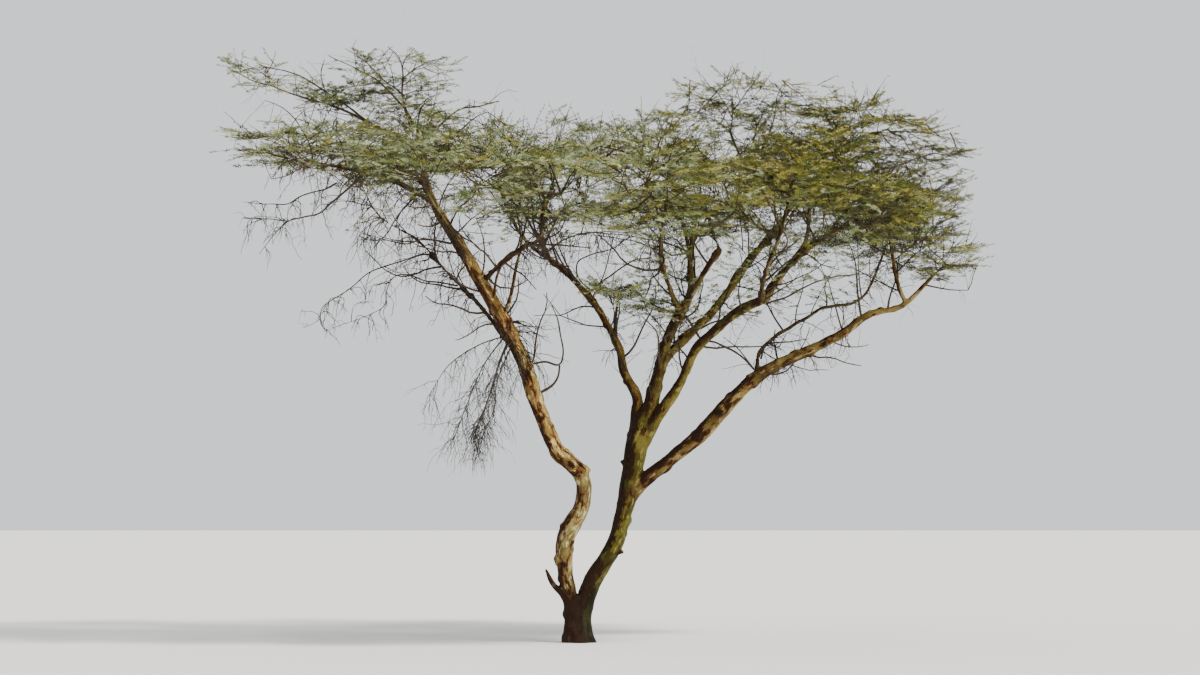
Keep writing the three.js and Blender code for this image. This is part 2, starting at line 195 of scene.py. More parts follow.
# Thinner branches with a clear place of their own, in the same form as the limbs. Rising ones bear
# side branches, hanging ones bear a fringe of hanging twigs, and plain ones bear neither.
RISING_STRANDS = [
    [
        [-3.15, 9.77, -1.2, 0.045], [-3.69, 10.26, -0.4, 0.036], [-4.05, 10.42, 0, 0.032],
        [-4.91, 10.85, 0.5, 0.024], [-5.58, 11.05, 0.6, 0.018], [-6.71, 11.43, 0.6, 0.01],
    ],
    [
        [-3.29, 10.4, -0.8, 0.036], [-3.51, 10.8, -0.4, 0.028], [-3.58, 11.16, 0, 0.022],
        [-3.6, 11.75, 0.2, 0.014], [-3.87, 12.1, 0.2, 0.007],
    ],
    [
        [-4.2, 10.5, 0.1, 0.024], [-5, 11.07, 0.3, 0.02], [-5.7, 11.5, 0.1, 0.014],
        [-6.5, 11.72, -0.2, 0.008],
    ],
    [
        [-3.5, 10.8, -0.4, 0.022], [-4.1, 11.4, -0.2, 0.016], [-4.5, 11.62, -0.3, 0.012],
        [-5.1, 11.92, -0.5, 0.007],
    ],
    [
        [-3.55, 11.1, 0, 0.018], [-4, 11.45, 0.4, 0.014], [-4.4, 11.85, 0.6, 0.01],
        [-4.75, 12.05, 0.7, 0.006],
    ],
    [[-3.58, 11.45, 0.1, 0.016], [-3.1, 11.75, 0.4, 0.012], [-2.66, 11.88, 0.5, 0.006]],
    [
        [-3, 10.3, -0.4, 0.024], [-2.43, 10.78, 0.2, 0.02], [-2.07, 10.86, 0.4, 0.016],
        [-1.6, 10.98, 0.5, 0.011],
    ],
    [
        [3.74, 9.36, -1, 0.03], [3.42, 9.63, -0.7, 0.026], [3.24, 9.99, -0.4, 0.024],
        [3.11, 10.31, -0.2, 0.02], [3.15, 10.62, 0, 0.016], [3.11, 11.07, 0.1, 0.01],
    ],
    [[3.15, 10.6, 0, 0.015], [2.88, 11.1, -0.2, 0.011], [2.5, 11.4, -0.3, 0.006]],
    [[3.15, 10.75, 0, 0.014], [3.47, 11.2, 0.3, 0.01], [3.74, 11.42, 0.4, 0.006]],
    [[3.7, 9.9, 0.5, 0.022], [4, 10.6, 0.6, 0.015], [4.05, 11.05, 0.6, 0.01], [4.23, 11.35, 0.7, 0.006]],
    [[-0.6, 8.9, 2.4, 0.03], [-1.2, 9.6, 1.6, 0.024], [-2, 10, 0.8, 0.016], [-2.6, 10.2, 0.2, 0.009]],
    [[2.5, 8.6, -1.5, 0.03], [1.9, 9.3, -1.2, 0.022], [1, 9.9, -0.8, 0.015], [0.2, 10.1, -0.6, 0.008]],
    [[5, 8.2, -2.5, 0.03], [5.7, 9, -1.4, 0.024], [6.4, 9.6, -0.4, 0.016], [7.2, 9.9, 0.3, 0.009]],
    [[4.3, 8.6, 2.6, 0.03], [4.9, 9.4, 2, 0.024], [5.5, 10.1, 1.4, 0.016], [6.3, 10.4, 1, 0.009]],
    [[-0.66, 7.88, -2.9, 0.03], [-1.2, 8.8, -3, 0.022], [-2, 9.4, -3.2, 0.014], [-2.7, 9.7, -3.6, 0.008]],
]
HANGING_STRANDS = [
    [
        [-4.36, 9.5, -2, 0.026], [-4.68, 9.18, -2, 0.022], [-5, 8.91, -2, 0.02], [-5.22, 8.69, -2, 0.018],
        [-5.58, 8.6, -2.1, 0.015], [-5.9, 8.51, -2.2, 0.013], [-6.17, 8.24, -2.3, 0.009],
        [-6.48, 7.83, -2.3, 0.005],
    ],
    [[-5.85, 8.52, -2.2, 0.012], [-6.26, 8.56, -2.1, 0.01], [-6.8, 8.58, -2, 0.006]],
    [
        [-4.9, 9.3, -1.6, 0.018], [-5.13, 9.18, -1.5, 0.016], [-5.58, 9.05, -1.3, 0.014],
        [-5.9, 8.87, -1.2, 0.012], [-6.35, 8.87, -1.1, 0.009], [-6.8, 8.91, -1, 0.005],
    ],
    [
        [-2.43, 7.2, 0.5, 0.02], [-2.75, 7.25, 0.5, 0.018], [-3.1, 7.29, 0.6, 0.016],
        [-3.47, 7.43, 0.7, 0.014], [-3.74, 7.38, 0.8, 0.012], [-3.87, 7.11, 0.9, 0.01],
        [-3.92, 6.8, 0.9, 0.009], [-4.23, 6.62, 1, 0.007], [-4.68, 6.44, 1.1, 0.004],
    ],
    [
        [-2.9, 7.85, 1.2, 0.02], [-3.2, 7.83, 1.2, 0.018], [-3.56, 7.7, 1.2, 0.016],
        [-3.87, 7.6, 1.2, 0.015], [-4.23, 7.47, 1.2, 0.013], [-4.68, 7.11, 1.2, 0.011],
        [-5.13, 6.8, 1.2, 0.009], [-5.22, 6.57, 1.2, 0.007], [-5.13, 6.26, 1.2, 0.004],
    ],
    [
        [-2.57, 8.06, -1.1, 0.024], [-3.1, 8.15, -1, 0.018], [-3.56, 8.06, -0.9, 0.014],
        [-4.3, 8.24, -0.8, 0.007],
    ],
    [
        [3.71, 5.72, 0.3, 0.022], [3.83, 6.01, 0.45, 0.018], [4.23, 6.05, 0.6, 0.014],
        [4.68, 6.12, 0.8, 0.008],
    ],
    [[-0.66, 7.88, 2.2, 0.02], [-0.2, 8.18, 1.9, 0.016], [0.5, 8.3, 1.6, 0.012], [1.4, 8.25, 1.4, 0.007]],
    [[2.29, 7.88, 1, 0.02], [1.7, 8.1, 1.2, 0.015], [1, 8.22, 1, 0.011], [0.2, 8.3, 0.8, 0.006]],
    [
        [1.67, 7.92, -2.4, 0.016], [1.1, 8.12, -2.2, 0.012], [0.4, 8.22, -1.9, 0.009],
        [-0.4, 8.3, -1.7, 0.006],
    ],
]
PLAIN_STRANDS = [
    [
        [2.18, 6.6, -0.45, 0.03], [2.39, 6.3, -0.3, 0.026], [2.52, 6.12, -0.1, 0.024],
        [2.84, 6.03, 0, 0.022], [3.33, 5.76, 0.1, 0.02], [3.56, 5.49, 0.2, 0.018],
    ],
    [[0.74, 6.1, 0.85, 0.045], [0.76, 6.5, 0.95, 0.034], [0.82, 6.89, 1, 0.02]],
    [
        [-0.8, 5, -0.62, 0.03], [-0.55, 5.14, -0.62, 0.028], [-0.41, 5.31, -0.6, 0.024],
        [-0.36, 5.58, -0.55, 0.018],
    ],
    [
        [-1, 5.6, -0.7, 0.024], [-0.66, 5.66, -0.62, 0.022], [-0.36, 5.6, -0.55, 0.02],
        [-0.3, 5.9, -0.55, 0.018], [-0.41, 6.48, -0.6, 0.014], [-0.54, 6.8, -0.7, 0.008],
    ],
    [
        [0.27, 7.1, 1.3, 0.02], [0, 7.38, 1.2, 0.018], [0, 7.7, 1.1, 0.016], [0.27, 7.83, 1, 0.014],
        [0.72, 7.97, 0.9, 0.012], [1.17, 8.28, 0.8, 0.008],
    ],
    [[0.2, 7.05, 1.3, 0.022], [0.63, 7.38, 1, 0.018], [1.1, 7.7, 0.8, 0.014], [1.49, 7.79, 0.6, 0.008]],
    [
        [3.85, 6.85, -1.5, 0.022], [4.3, 7, -1.3, 0.02], [4.75, 7.25, -1.1, 0.017], [5.3, 7.4, -0.9, 0.014],
        [5.9, 7.42, -0.7, 0.01], [6.3, 7.2, -0.5, 0.006],
    ],
]
STRANDS = [*RISING_STRANDS, *HANGING_STRANDS, *PLAIN_STRANDS]

# Thin branches whose bark is as pale as that of the boughs.
PALE_STRANDS = [
    [
        [-1.56, 6.5, -0.85, 0.05], [-1.4, 6.85, -0.98, 0.038], [-1.3, 7.35, -1.15, 0.034],
        [-1.17, 7.97, -1.5, 0.026], [-1, 8.7, -1.8, 0.016],
    ],
    [[-1.7, 6.85, -0.92, 0.034], [-1.65, 7.35, -1.3, 0.026], [-1.5, 7.75, -1.7, 0.018]],
]

# Leafy masses: how many twig ends each cubic metre holds, and the share of them that bear leaves.
FOLIAGE = {
    "left_middle": (72, 0.95), "left_low": (70, 0.9), "left_high": (100, 0.8), "left_top": (70, 0.75),
    "left_back": (56, 0.9), "left_front": (66, 0.85), "inner_left": (66, 0.95),
    "inner_left_back": (57, 0.95), "inner_left_front": (68, 0.9), "far_left_back": (57, 0.9),
    "middle": (67, 0.95), "middle_top": (52, 0.75), "middle_back": (62, 0.95), "middle_front": (70, 0.9),
    "far_back": (59, 0.9), "right_inner": (84, 0.95), "right_high": (80, 0.9), "right_low": (92, 0.95),
    "right_top": (80, 0.72), "right_front": (80, 0.9), "right_back": (63, 0.9), "outer_front": (88, 0.9),
    "outer_back": (72, 0.9), "right_tip": (104, 0.9), "small_inner": (350, 0.95),
}

# Where the sky shows through the crown: [across, up, half width, half height], as seen from the eye.
OPENINGS = [
    [-3.6, 11.62, 0.45, 0.18], [-6.1, 10.98, 0.6, 0.17], [-3.85, 10.6, 0.28, 0.2], [-3.69, 9.09, 0.3, 0.2],
    [-2.84, 9.18, 0.25, 0.28], [-2.2, 10.6, 0.35, 0.28], [-2, 9.45, 0.42, 0.17], [-1.82, 8.87, 0.38, 0.28],
    [-0.75, 10.3, 0.5, 0.22], [-0.3, 9.27, 0.42, 0.2], [0.32, 9.18, 0.45, 0.25], [1.13, 9.4, 0.42, 0.2],
    [2.34, 10.35, 0.36, 0.22], [2.88, 9.99, 0.42, 0.26], [4.37, 10.44, 0.45, 0.22], [3.6, 11.05, 0.55, 0.2],
    [2.84, 9.14, 0.42, 0.17], [4, 8.64, 0.34, 0.25], [4.8, 8.55, 0.55, 0.24],
]

# How many side branches each metre of a limb bears, and how many times as many some limbs bear.
BRANCHES_PER_METRE = 2.4
BRANCH_SHARES = {
    "left_bough": 0.25, "left_stem": 0, "right_stem": 0, "trunk_stub": 0, "lower_right_bough": 0.2,
    "lower_right_middle_bough": 0.9, "middle_bough": 0.9, "right_outer_bough": 1.3, "left_back_bough": 1.5,
    "left_side_bough": 1.3, "left_arch_bough": 1.3, "inner_left_upper_bough": 1.4,
}

# The orders of side branches: how far apart they spring, how long they are, their radius as a share
# of what bears them and at most, and how much they turn upward at each step.
LIMB_BRANCHES = {"length": 1.5, "radius_share": 0.55, "top_radius": 0.024, "lift": 0.1}
STRAND_BRANCHES = {"spacing": 0.27, "length": 0.85, "radius_share": 0.75, "top_radius": 0.014, "lift": 0.08}
SMALL_BRANCHES = {"spacing": 0.26, "length": 0.62, "radius_share": 0.55, "top_radius": 0.009, "lift": 0.02}
FINEST_TWIGS = {"spacing": 0.17, "length": 0.34, "radius_share": 0.6, "top_radius": 0.0065, "lift": -0.02}

LIMB_SPACING = 0.1  # between the points of a limb from which twigs spring

# Heights in metres.
BRANCH_FROM = 5.4  # limbs bear side branches from here up
LEAVES_FROM = 6.1  # lower twigs are bare
CROWN_FLOOR = 8.9  # branches begin to flatten out here
CROWN_TOP = 10.7  # twigs whose tips are higher stand clear of the crown
STRAND_TOP = 11.4  # twigs whose tips are higher still are bare
LEAVES_RISE = 0.25  # how much higher leaves begin for each metre right of LEAVES_RISE_FROM
LEAVES_RISE_FROM = 2
DEAD_LEFT_OF = 0.8  # further left, twigs below DEAD_BELOW are bare
DEAD_BELOW = 8.3

# Bare twigs that hang from a limb: from which share of it on, how many, how long, and their lean.
DROOPING = [
    ("left_side_bough", 0.1, 76, 0.95, [-0.5, 0, 0.1]),
    ("left_back_bough", 0.2, 62, 1.2, [-0.5, 0, 0.1]),
    ("left_front_bough", 0.25, 30, 0.8, [-0.5, 0, 0.1]),
    ("left_arch_bough", 0.1, 40, 0.9, [0.3, 0, 0]),
    ("left_bough", 0.78, 46, 1.05, [0.9, -0.2, 0]),
    ("thin_right_bough", 0.3, 26, 0.7, [0, 0, 0.1]),
    ("inner_left_bough", 0.6, 9, 0.7, [0.6, 0, 0.3]),
    ("middle_bough", 0.5, 14, 0.75, [-0.6, 0, 0.2]),
    ("inner_left_upper_bough", 0.25, 38, 0.65, [0.6, 0, 0.1]),
    ("middle_back_bough", 0.3, 36, 0.65, [-0.4, 0, 0.1]),
    ("middle_front_bough", 0.3, 36, 0.65, [-0.4, 0, 0.1]),
    ("middle_short_bough", 0.2, 14, 0.5, [0, 0, 0]),
    ("right_inner_bough", 0.4, 28, 0.7, [-0.2, 0, 0.2]),
    ("right_outer_tip", 0.1, 20, 0.6, [0, 0, 0]),
    ("lower_right_middle_bough", 0.2, 30, 0.6, [0, 0, 0.2]),
]

# The dead tangle that hangs from the left bough: its main twigs, and for each the way that its
# side twigs lean, how many there are and how long they are.
TANGLE = [
    (
        [
            [-1.36, 6.2, -0.72, 0.03], [-1.6, 5.6, -0.8, 0.022], [-1.85, 4.8, -0.88, 0.016],
            [-2.2, 4, -0.92, 0.007],
        ],
        [-0.7, 0, -2], 74, 1.15,
    ),
    (
        [[-1.4, 6.2, -0.7, 0.016], [-2, 6, -0.55, 0.013], [-2.6, 5.6, -0.4, 0.01], [-3, 5, -0.3, 0.005]],
        [-0.5, 0, -1], 26, 0.9,
    ),
    (
        [
            [-1.3, 6.1, -0.75, 0.018], [-1.62, 5.3, -1.1, 0.014], [-1.7, 4.7, -1.2, 0.01],
            [-1.95, 4.1, -1.2, 0.006],
        ],
        [-0.4, 0, -1.6], 34, 0.9,
    ),
    (
        [
            [-1.5, 6.15, -0.7, 0.016], [-1.9, 5.6, -0.5, 0.013], [-2.2, 4.9, -0.45, 0.01],
            [-2.5, 4.1, -0.4, 0.005],
        ],
        [-0.7, 0, -1.6], 48, 1,
    ),
]
TANGLE_END = 3.3  # the tangle's lowest height

# The radii of hanging twigs, and the length and lean of those on hanging strands.
DROOPING_RADIUS = 0.0105
TANGLE_RADIUS = 0.007
FRINGE_RADIUS = 0.009
FRINGE_LENGTH = 0.75
FRINGE_LEAN = [-0.4, 0, -0.2]

# How side branches and hanging twigs bend: how much a branch springs onward and upward, the length
# or number of steps, how far a heading wanders at each, and how far a hanging twig's turns down.
BRANCH_ONWARD = 0.55
BRANCH_UPWARD = 0.2
BRANCH_STEP = 0.3
BRANCH_WANDER = 0.24
HANGING_STEPS = 7
HANGING_WANDER = 0.3
HANGING_TURN = -0.26
SIDE_TWIGS = 3  # how many side twigs each hanging twig has
TWIG_WOBBLE = 0.01
TWIG_SAG = 0.02  # how far a leafy twig's end sags, as a share of its reach

LAYER_GAP = 0.33  # the height between two layers of the crown
LAYER_PULL = 0.5  # how far each point is drawn to the nearest layer
LAYER_WAVE = 0.6  # how far the layers rise and fall
GAP_LEVEL = -0.3  # the noise below which there is a small gap
GAP_TREND = 0.03  # how much lower that is for each metre to the right
# The shares of twigs, and of leaves on those left, that an opening or a small gap goes without.
OPEN_SKY = 0.6
SMALL_GAP = 0.7
BALANCE = 0.6  # how much a twig prefers the short way back to its limb
TIP_RADIUS = 0.005
TWIG_SIDES = [(0, 0.007, 3), (0.007, 0.016, 4), (0.016, 1, 7)]  # sides of twigs between two radii
TWIGS_FROM = 6.2  # leafy twigs spring from limbs above this height
TWIG_SPACING = 0.16
STRAND_SPACING = 0.08
PIPE_POWER = 2.0  # a twig's radius to this power is the sum of that of the twigs it carries
STRAIGHT_FROM = 0.004  # twigs thicker than this run more smoothly, at most by the share MOST_STRAIGHT
STRAIGHT_FADE = 0.02
MOST_STRAIGHT = 0.75
ACROSS_LIMBS = [0.3, 0.9, 0.1]  # no limb runs this way, so a cross product with it points to a side


def place(point):
    """The real place of a point that is noted as it looks from the eye point."""
    across, up, away = point[:3]
    reach = 1 + away / EYE_DISTANCE
    return np.array([EYE_ACROSS + (across - EYE_ACROSS) * reach, away, EYE_UP + (up - EYE_UP) * reach])


def as_seen(point):
    """The reverse of place(): across, up and away of a real point."""
    reach = 1 + point[1] / EYE_DISTANCE
    across = EYE_ACROSS + (point[0] - EYE_ACROSS) / reach
    return np.array([across, EYE_UP + (point[2] - EYE_UP) / reach, point[1]])


def smooth_path(points, spacing):
    """Points evenly spaced along a smooth curve through the given ones; a row is x, y, z, radius."""
    points = np.asarray(points, float)
    padded = np.vstack([2 * points[0] - points[1], points, 2 * points[-1] - points[-2]])
    t = np.linspace(0, 1, 24, endpoint=False)[:, None]
    fine = []
    for a, b, c, d in zip(padded, padded[1:], padded[2:], padded[3:]):
        square, cube = 2 * a - 5 * b + 4 * c - d, 3 * b - a - 3 * c + d
        fine.append(0.5 * (2 * b + (c - a) * t + square * t**2 + cube * t**3))
    fine = np.vstack([*fine, points[-1:]])
    length = np.concatenate([[0], np.cumsum(np.linalg.norm(np.diff(fine[:, :3], axis=0), axis=1))])
    count = max(2, int(round(length[-1] / spacing)) + 1)
    at = np.linspace(0, length[-1], count)
    return np.column_stack([np.interp(at, length, fine[:, i]) for i in range(fine.shape[1])])


def limb_path(noted, spacing):
    """A limb's real centreline with its radii, from its noted points."""
    return smooth_path([[*place(p), p[3]] for p in noted], spacing)


def unit(vectors):
    return vectors / np.maximum(np.linalg.norm(vectors, axis=-1, keepdims=True), 1e-9)


def ring_quads(rings, sides):
    """Quads between each of the given rings of a tube and the ring after it."""
    around = np.arange(sides)
    low = rings[:, None] * sides + around
    low_next = rings[:, None] * sides + (around + 1) % sides
    return np.stack([low, low_next, low_next + sides, low + sides], axis=-1).reshape(-1, 4)


def tube(path, sides):
    """Vertices and faces of one tube along a path whose rows are x, y, z, radius; its ends are closed."""
    centres, radii = path[:, :3], path[:, 3]
    tangents = unit(np.gradient(centres, axis=0))
    normal = np.cross(tangents[0], ACROSS_LIMBS)
    angle = np.linspace(0, 2 * math.pi, sides, endpoint=False)[:, None]
    rings = []
    for centre, radius, tangent in zip(centres, radii, tangents):
        normal = unit(normal - tangent * (normal @ tangent))
        side = np.cross(tangent, normal)
        rings.append(centre + radius * (np.cos(angle) * normal + np.sin(angle) * side))
    count = len(rings) * sides
    ends = [tuple(range(sides))[::-1], tuple(range(count - sides, count))]
    return np.vstack(rings), ring_quads(np.arange(len(rings) - 1), sides).tolist() + ends


def thin_tubes(paths, sides):
    """Vertices and quads of many thin tubes at once, open at their ends."""
    rows = np.vstack(paths)
    tangents = unit(np.vstack([np.gradient(p[:, :3], axis=0) for p in paths]))
    normals = unit(np.cross(tangents, [0.21, 0.34, 0.92]))
    others = np.cross(tangents, normals)
    angle = np.linspace(0, 2 * math.pi, sides, endpoint=False)[None, :, None]
    spokes = np.cos(angle) * normals[:, None, :] + np.sin(angle) * others[:, None, :]
    vertices = (rows[:, None, :3] + rows[:, None, 3:4] * spokes).reshape(-1, 3)
    last = np.cumsum([len(p) for p in paths]) - 1
    return vertices, ring_quads(np.setdiff1d(np.arange(len(rows)), last), sides)


def mesh_piece(name, vertices, faces, material, smooth=True):
    """A mesh object from arrays; every face has the same number of corners."""
    faces = np.asarray(faces)
    mesh = bpy.data.meshes.new(name)
    mesh.vertices.add(len(vertices))
    mesh.vertices.foreach_set("co", np.asarray(vertices, np.float32).ravel())
    mesh.loops.add(faces.size)
    mesh.loops.foreach_set("vertex_index", faces.astype(np.int32).ravel())
    mesh.polygons.add(len(faces))
    mesh.polygons.foreach_set("loop_start", np.arange(0, faces.size, faces.shape[1], dtype=np.int32))
    mesh.update(calc_edges=True)
    mesh.polygons.foreach_set("use_smooth", np.full(len(faces), smooth))
    mesh.materials.append(material)
    piece = bpy.data.objects.new(name, mesh)
    bpy.context.scene.collection.objects.link(piece)
    return piece


def foliage_node(name):
    return "foliage_" + name


# Materials


class Graph:
    """A new material, with short ways to add its nodes."""

    def __init__(self, name):
        self.material = bpy.data.materials.new(name)
        self.material.use_nodes = True
        self.shader = self.material.node_tree.nodes["Principled BSDF"]

    def feed(self, node, inputs):
        """Gives each named or numbered input of a node a value, or links another node's output to it."""
        for name, value in inputs.items():
            if isinstance(value, bpy.types.NodeSocket):
                self.material.node_tree.links.new(value, node.inputs[name])
            else:
                node.inputs[name].default_value = value

    def add(self, kind, output, inputs, **settings):
        """Adds a node and returns one of its outputs."""
        node = self.material.node_tree.nodes.new("ShaderNode" + kind)
        for name, value in settings.items():
            setattr(node, name, value)
        self.feed(node, inputs)
        return node.outputs[output]

    def attribute(self, name, output):
        return self.add("Attribute", output, {}, attribute_name=name)

    def noise(self, where, scale, detail=5.0, roughness=0.6, stretch=None):
        """A noise texture; stretch scales the space first."""
        if stretch:
            where = self.add("Mapping", "Vector", {"Scale": stretch, "Vector": where})
        inputs = {"Scale": scale, "Detail": detail, "Roughness": roughness, "Vector": where}
        return self.add("TexNoise", "Fac", inputs)

    def ramp(self, value, low, high):
        """0 below low, 1 above high, and smooth between."""
        inputs = {"From Min": low, "From Max": high, "Value": value}
        return self.add("MapRange", "Result", inputs, interpolation_type="SMOOTHSTEP")

    def between(self, share, low, high):
        """The value that lies a share of the way from low to high."""
        return self.add("MapRange", "Result", {"To Min": low, "To Max": high, "Value": share})

    def mix(self, share, first, second, blend="MIX"):
        """A mix of two colours, each one a tuple or another node's output."""
        first, second = ((*c, 1) if isinstance(c, tuple) else c for c in (first, second))
        return self.add("Mix", 2, {"Factor": share, 6: first, 7: second}, data_type="RGBA", blend_type=blend)

    def bump(self, height, distance, strength):
        inputs = {"Strength": strength, "Distance": distance, "Height": height}
        return self.add("Bump", "Normal", inputs)

    def finished(self, colour, roughness, specular, **others):
        """Feeds the shader and returns the material."""
        inputs = {"Base Color": colour, "Roughness": roughness, "Specular IOR Level": specular}
        self.feed(self.shader, {**inputs, **others})
        return self.material


def bark_material():
    """Powdery yellow bark: olive patches, cream flecks and dark flakes with red-brown edges. The dark flakes
    are the bark's own, and the extra ones on the shady side are painted shade.
    """
    graph = Graph("bark")
    where = graph.attribute("bark_place", "Vector")
    patches = graph.ramp(graph.noise(where, 2.6, stretch=(1, 1, 0.5)), 0.4, 0.6)
    ground = graph.mix(patches, (0.18, 0.13, 0.038), (0.45, 0.36, 0.14))
    flecks = graph.ramp(graph.noise(where, 10, stretch=(1, 1, 0.4)), 0.52, 0.64)
    pale = graph.mix(flecks, ground, (0.72, 0.62, 0.38))
    flakes = graph.noise(where, 9.5, detail=9, roughness=0.68, stretch=(1, 1, 0.32))
    # Dark patches: the bark's own flakes, with more on the shady side as painted shade.
    dark_patching = graph.add("Math", 0, {0: flakes, 1: graph.attribute("dark_share", "Fac")}, operation="ADD")
    reddened = graph.mix(graph.ramp(dark_patching, 0.53, 0.62), pale, (0.2, 0.078, 0.028))
    tinted = graph.mix(1, reddened, graph.attribute("limb_tint", "Color"), "MULTIPLY")
    dark = graph.ramp(dark_patching, 0.6, 0.67)
    coloured = graph.mix(dark, tinted, (0.028, 0.0135, 0.007))
    grain = graph.ramp(graph.noise(where, 55, detail=4), 0.3, 0.75)
    grained = graph.mix(grain, (0.5, 0.46, 0.42), (1.15, 1.12, 1.05))
    colour = graph.mix(0.6, coloured, grained, "MULTIPLY")
    height = graph.add("Math", 0, {0: grain, 1: 0.5, 2: dark}, operation="MULTIPLY_ADD")
    roughness = graph.between(dark, 0.62, 0.92)
    return graph.finished(colour, roughness, 0.12, Normal=graph.bump(height, 0.014, 0.7))


def twig_material(name, dark, pale, scale):
    """Fine bark whose colour shifts from twig to twig."""
    graph = Graph(name)
    where = graph.add("TexCoord", "Object", {})
    shift = graph.ramp(graph.noise(where, scale, detail=3), 0.35, 0.68)
    grain = graph.noise(where, 90, detail=3)
    return graph.finished(graph.mix(shift, dark, pale), 0.82, 0.12, Normal=graph.bump(grain, 0.002, 0.4))


def leaf_material(name, colour):
    """A dull leaf green with small shifts in colour and gloss along the leaflets."""
    graph = Graph(name)
    where = graph.add("TexCoord", "Object", {})
    shift = graph.ramp(graph.noise(where, 9, detail=4), 0.3, 0.72)
    dull = tuple(0.72 * c for c in colour)
    warm = (1.22 * colour[0], 1.12 * colour[1], 0.95 * colour[2])
    gloss = graph.between(graph.noise(where, 40, detail=2), 0.5, 0.72)
    return graph.finished(graph.mix(shift, dull, warm), gloss, 0.22)


# Bark

SKIN_VOXEL = 0.0295
SKIN_SPACING = 0.06
THICK = 0.05  # limbs at least this thick at their foot are part of the one skin
THIN_FOOT = 8  # how many points of a thinner limb are part of it
SKIN_SIDES = 14
THIN_SPACING = 0.07
THIN_SIDES = 9
FORK_FLARE = 0.25  # how much thicker a limb is at its foot, which falls off over FORK_REACH
FORK_REACH = 0.12
SWELLINGS = 0.016  # how far each part of the bark's relief stands out
RIBS = 0.011
KNOBS = 0.09
OLD_BARK = 0.012  # near the ground, up to OLD_BARK_TOP
OLD_BARK_TOP = 1.5
BEND = 0.02  # how far a thin limb strays from its line
KNOTS = 0.25  # how much its thickness differs along it

# The look of each limb's bark: a tint that multiplies its colours, how readily it flakes dark,
# and how much darker its shady side is.
PLAIN_LOOK = ((0.5, 0.44, 0.3), 0.05, 0.6)
LIMB_LOOKS = {
    "trunk": ((0.1, 0.062, 0.022), 0.14, 0.5),
    "trunk_stub": ((0.16, 0.13, 0.1), 0.12, 0.4),
    "left_stem": ((1.02, 1.08, 0.98), 0.08, 0.4),
    "left_bough": ((1.4, 1.33, 1.06), 0.11, 0.45),
    "left_upper_bough": ((0.82, 0.68, 0.45), 0.09, 0.6),
    "left_back_bough": ((0.12, 0.11, 0.11), 0.08, 0.4),
    "right_stem": ((0.37, 0.42, 0.15), 0.09, 0.93),
    "inner_left_bough": ((0.62, 0.48, 0.28), 0.05, 0.85),
    "middle_bough": ((0.36, 0.34, 0.16), 0.08, 0.85),
    "right_outer_bough": ((0.48, 0.48, 0.22), 0.05, 0.75),
    "right_inner_bough": ((0.42, 0.4, 0.2), 0.07, 0.75),
    "lower_right_bough": ((0.56, 0.52, 0.36), 0.13, 0.75),
    "lower_right_middle_bough": ((0.4, 0.36, 0.22), 0.1, 0.75),
    "thin_right_bough": ((0.18, 0.16, 0.11), 0.04, 0.6),
}
LOOK_SPACING = 0.08  # between the points of the limbs that hold their looks
LOOK_POINTS = 5  # how many of them each corner of the bark mixes
LOOK_BLUR = 0.05
SHADY_SIDE = (-0.92, 0.1, -0.3)
PAINTED_SHADE_FLAKES = 0.18  # painted shade: how much more readily the shady side gets dark flakes
FOOT_FLAKING = 0.05
SUNNY_GAIN = 0.12  # how much brighter the sunny side is
FOOT_TOP = 1.3  # the bark is dark up to about this height, over FOOT_FADE and unevenly
FOOT_SHIFT = 0.55  # how much higher on the right, and in patches
FOOT_FADE = 0.7
FOOT_DARKNESS = 0.85
CROWN_SHADE_FROM = 7.0  # boughs darken from here up, over CROWN_SHADE_FADE
CROWN_SHADE_FADE = 2.2
CROWN_DARKNESS = 0.6


def trunk_tube():
    """The trunk with lobes where the roots begin; it starts below ground and is cut level later."""
    path = limb_path(TRUNK, TRUNK_SPACING)
    vertices, faces = tube(path, TRUNK_SIDES)
    centres = np.repeat(path[:, :3], TRUNK_SIDES, axis=0)
    out = vertices - centres
    angle = np.arctan2(out[:, 1], out[:, 0])
    height = np.maximum(vertices[:, 2], 0)
    lobes = 0.6 + 0.4 * np.cos(ROOT_LOBES * angle + 0.6)
    flare = 1 + ROOT_FLARE * lobes * np.exp(-height / FLARE_HEIGHT) / TRUNK[0][3]
    vertices[:, :2] = centres[:, :2] + out[:, :2] * flare[:, None]
    return vertices, faces


def joined_mesh(parts):
    """One mesh of several lists of vertices and faces."""
    mesh = bpy.data.meshes.new("joined")
    vertices, faces = [], []
    for part_vertices, part_faces in parts:
        faces.extend([i + len(vertices) for i in face] for face in part_faces)
        vertices.extend(part_vertices.tolist())
    mesh.from_pydata(vertices, [], faces)
    return mesh


def in_skin(noted):
    return noted[0][3] >= THICK


def skin_parts():
    """Tubes of the thick limbs, and the flared foot of each thin one, so that every fork is filled."""
    parts = [trunk_tube()]
    for noted in [*LIMBS.values(), *STUBS]:
        path = limb_path(noted, SKIN_SPACING)
        foot = np.exp(-np.arange(len(path)) * SKIN_SPACING / FORK_REACH)
        path[:, 3] *= 1 + FORK_FLARE * foot
        path[-2:, 3] *= (0.8, 0.6)
        if not in_skin(noted):
            path = path[:THIN_FOOT]
            path[:, 3] = np.maximum(path[:, 3], 1.1 * SKIN_VOXEL)
        parts.append(tube(path, SKIN_SIDES))
    return parts


def remeshed(mesh):
    """One object whose skin runs smoothly over all the tubes of a mesh."""
    holder = bpy.data.objects.new("bark_skin", mesh)
    bpy.context.scene.collection.objects.link(holder)
    modifier = holder.modifiers.new("remesh", "REMESH")
    modifier.mode = "VOXEL"
    modifier.voxel_size = SKIN_VOXEL
    settle = holder.modifiers.new("settle", "SMOOTH")
    settle.factor = 0.5
    settle.iterations = 4
    evaluated = holder.evaluated_get(bpy.context.evaluated_depsgraph_get())
    holder.data = bpy.data.meshes.new_from_object(evaluated)
    holder.modifiers.clear()
    return holder


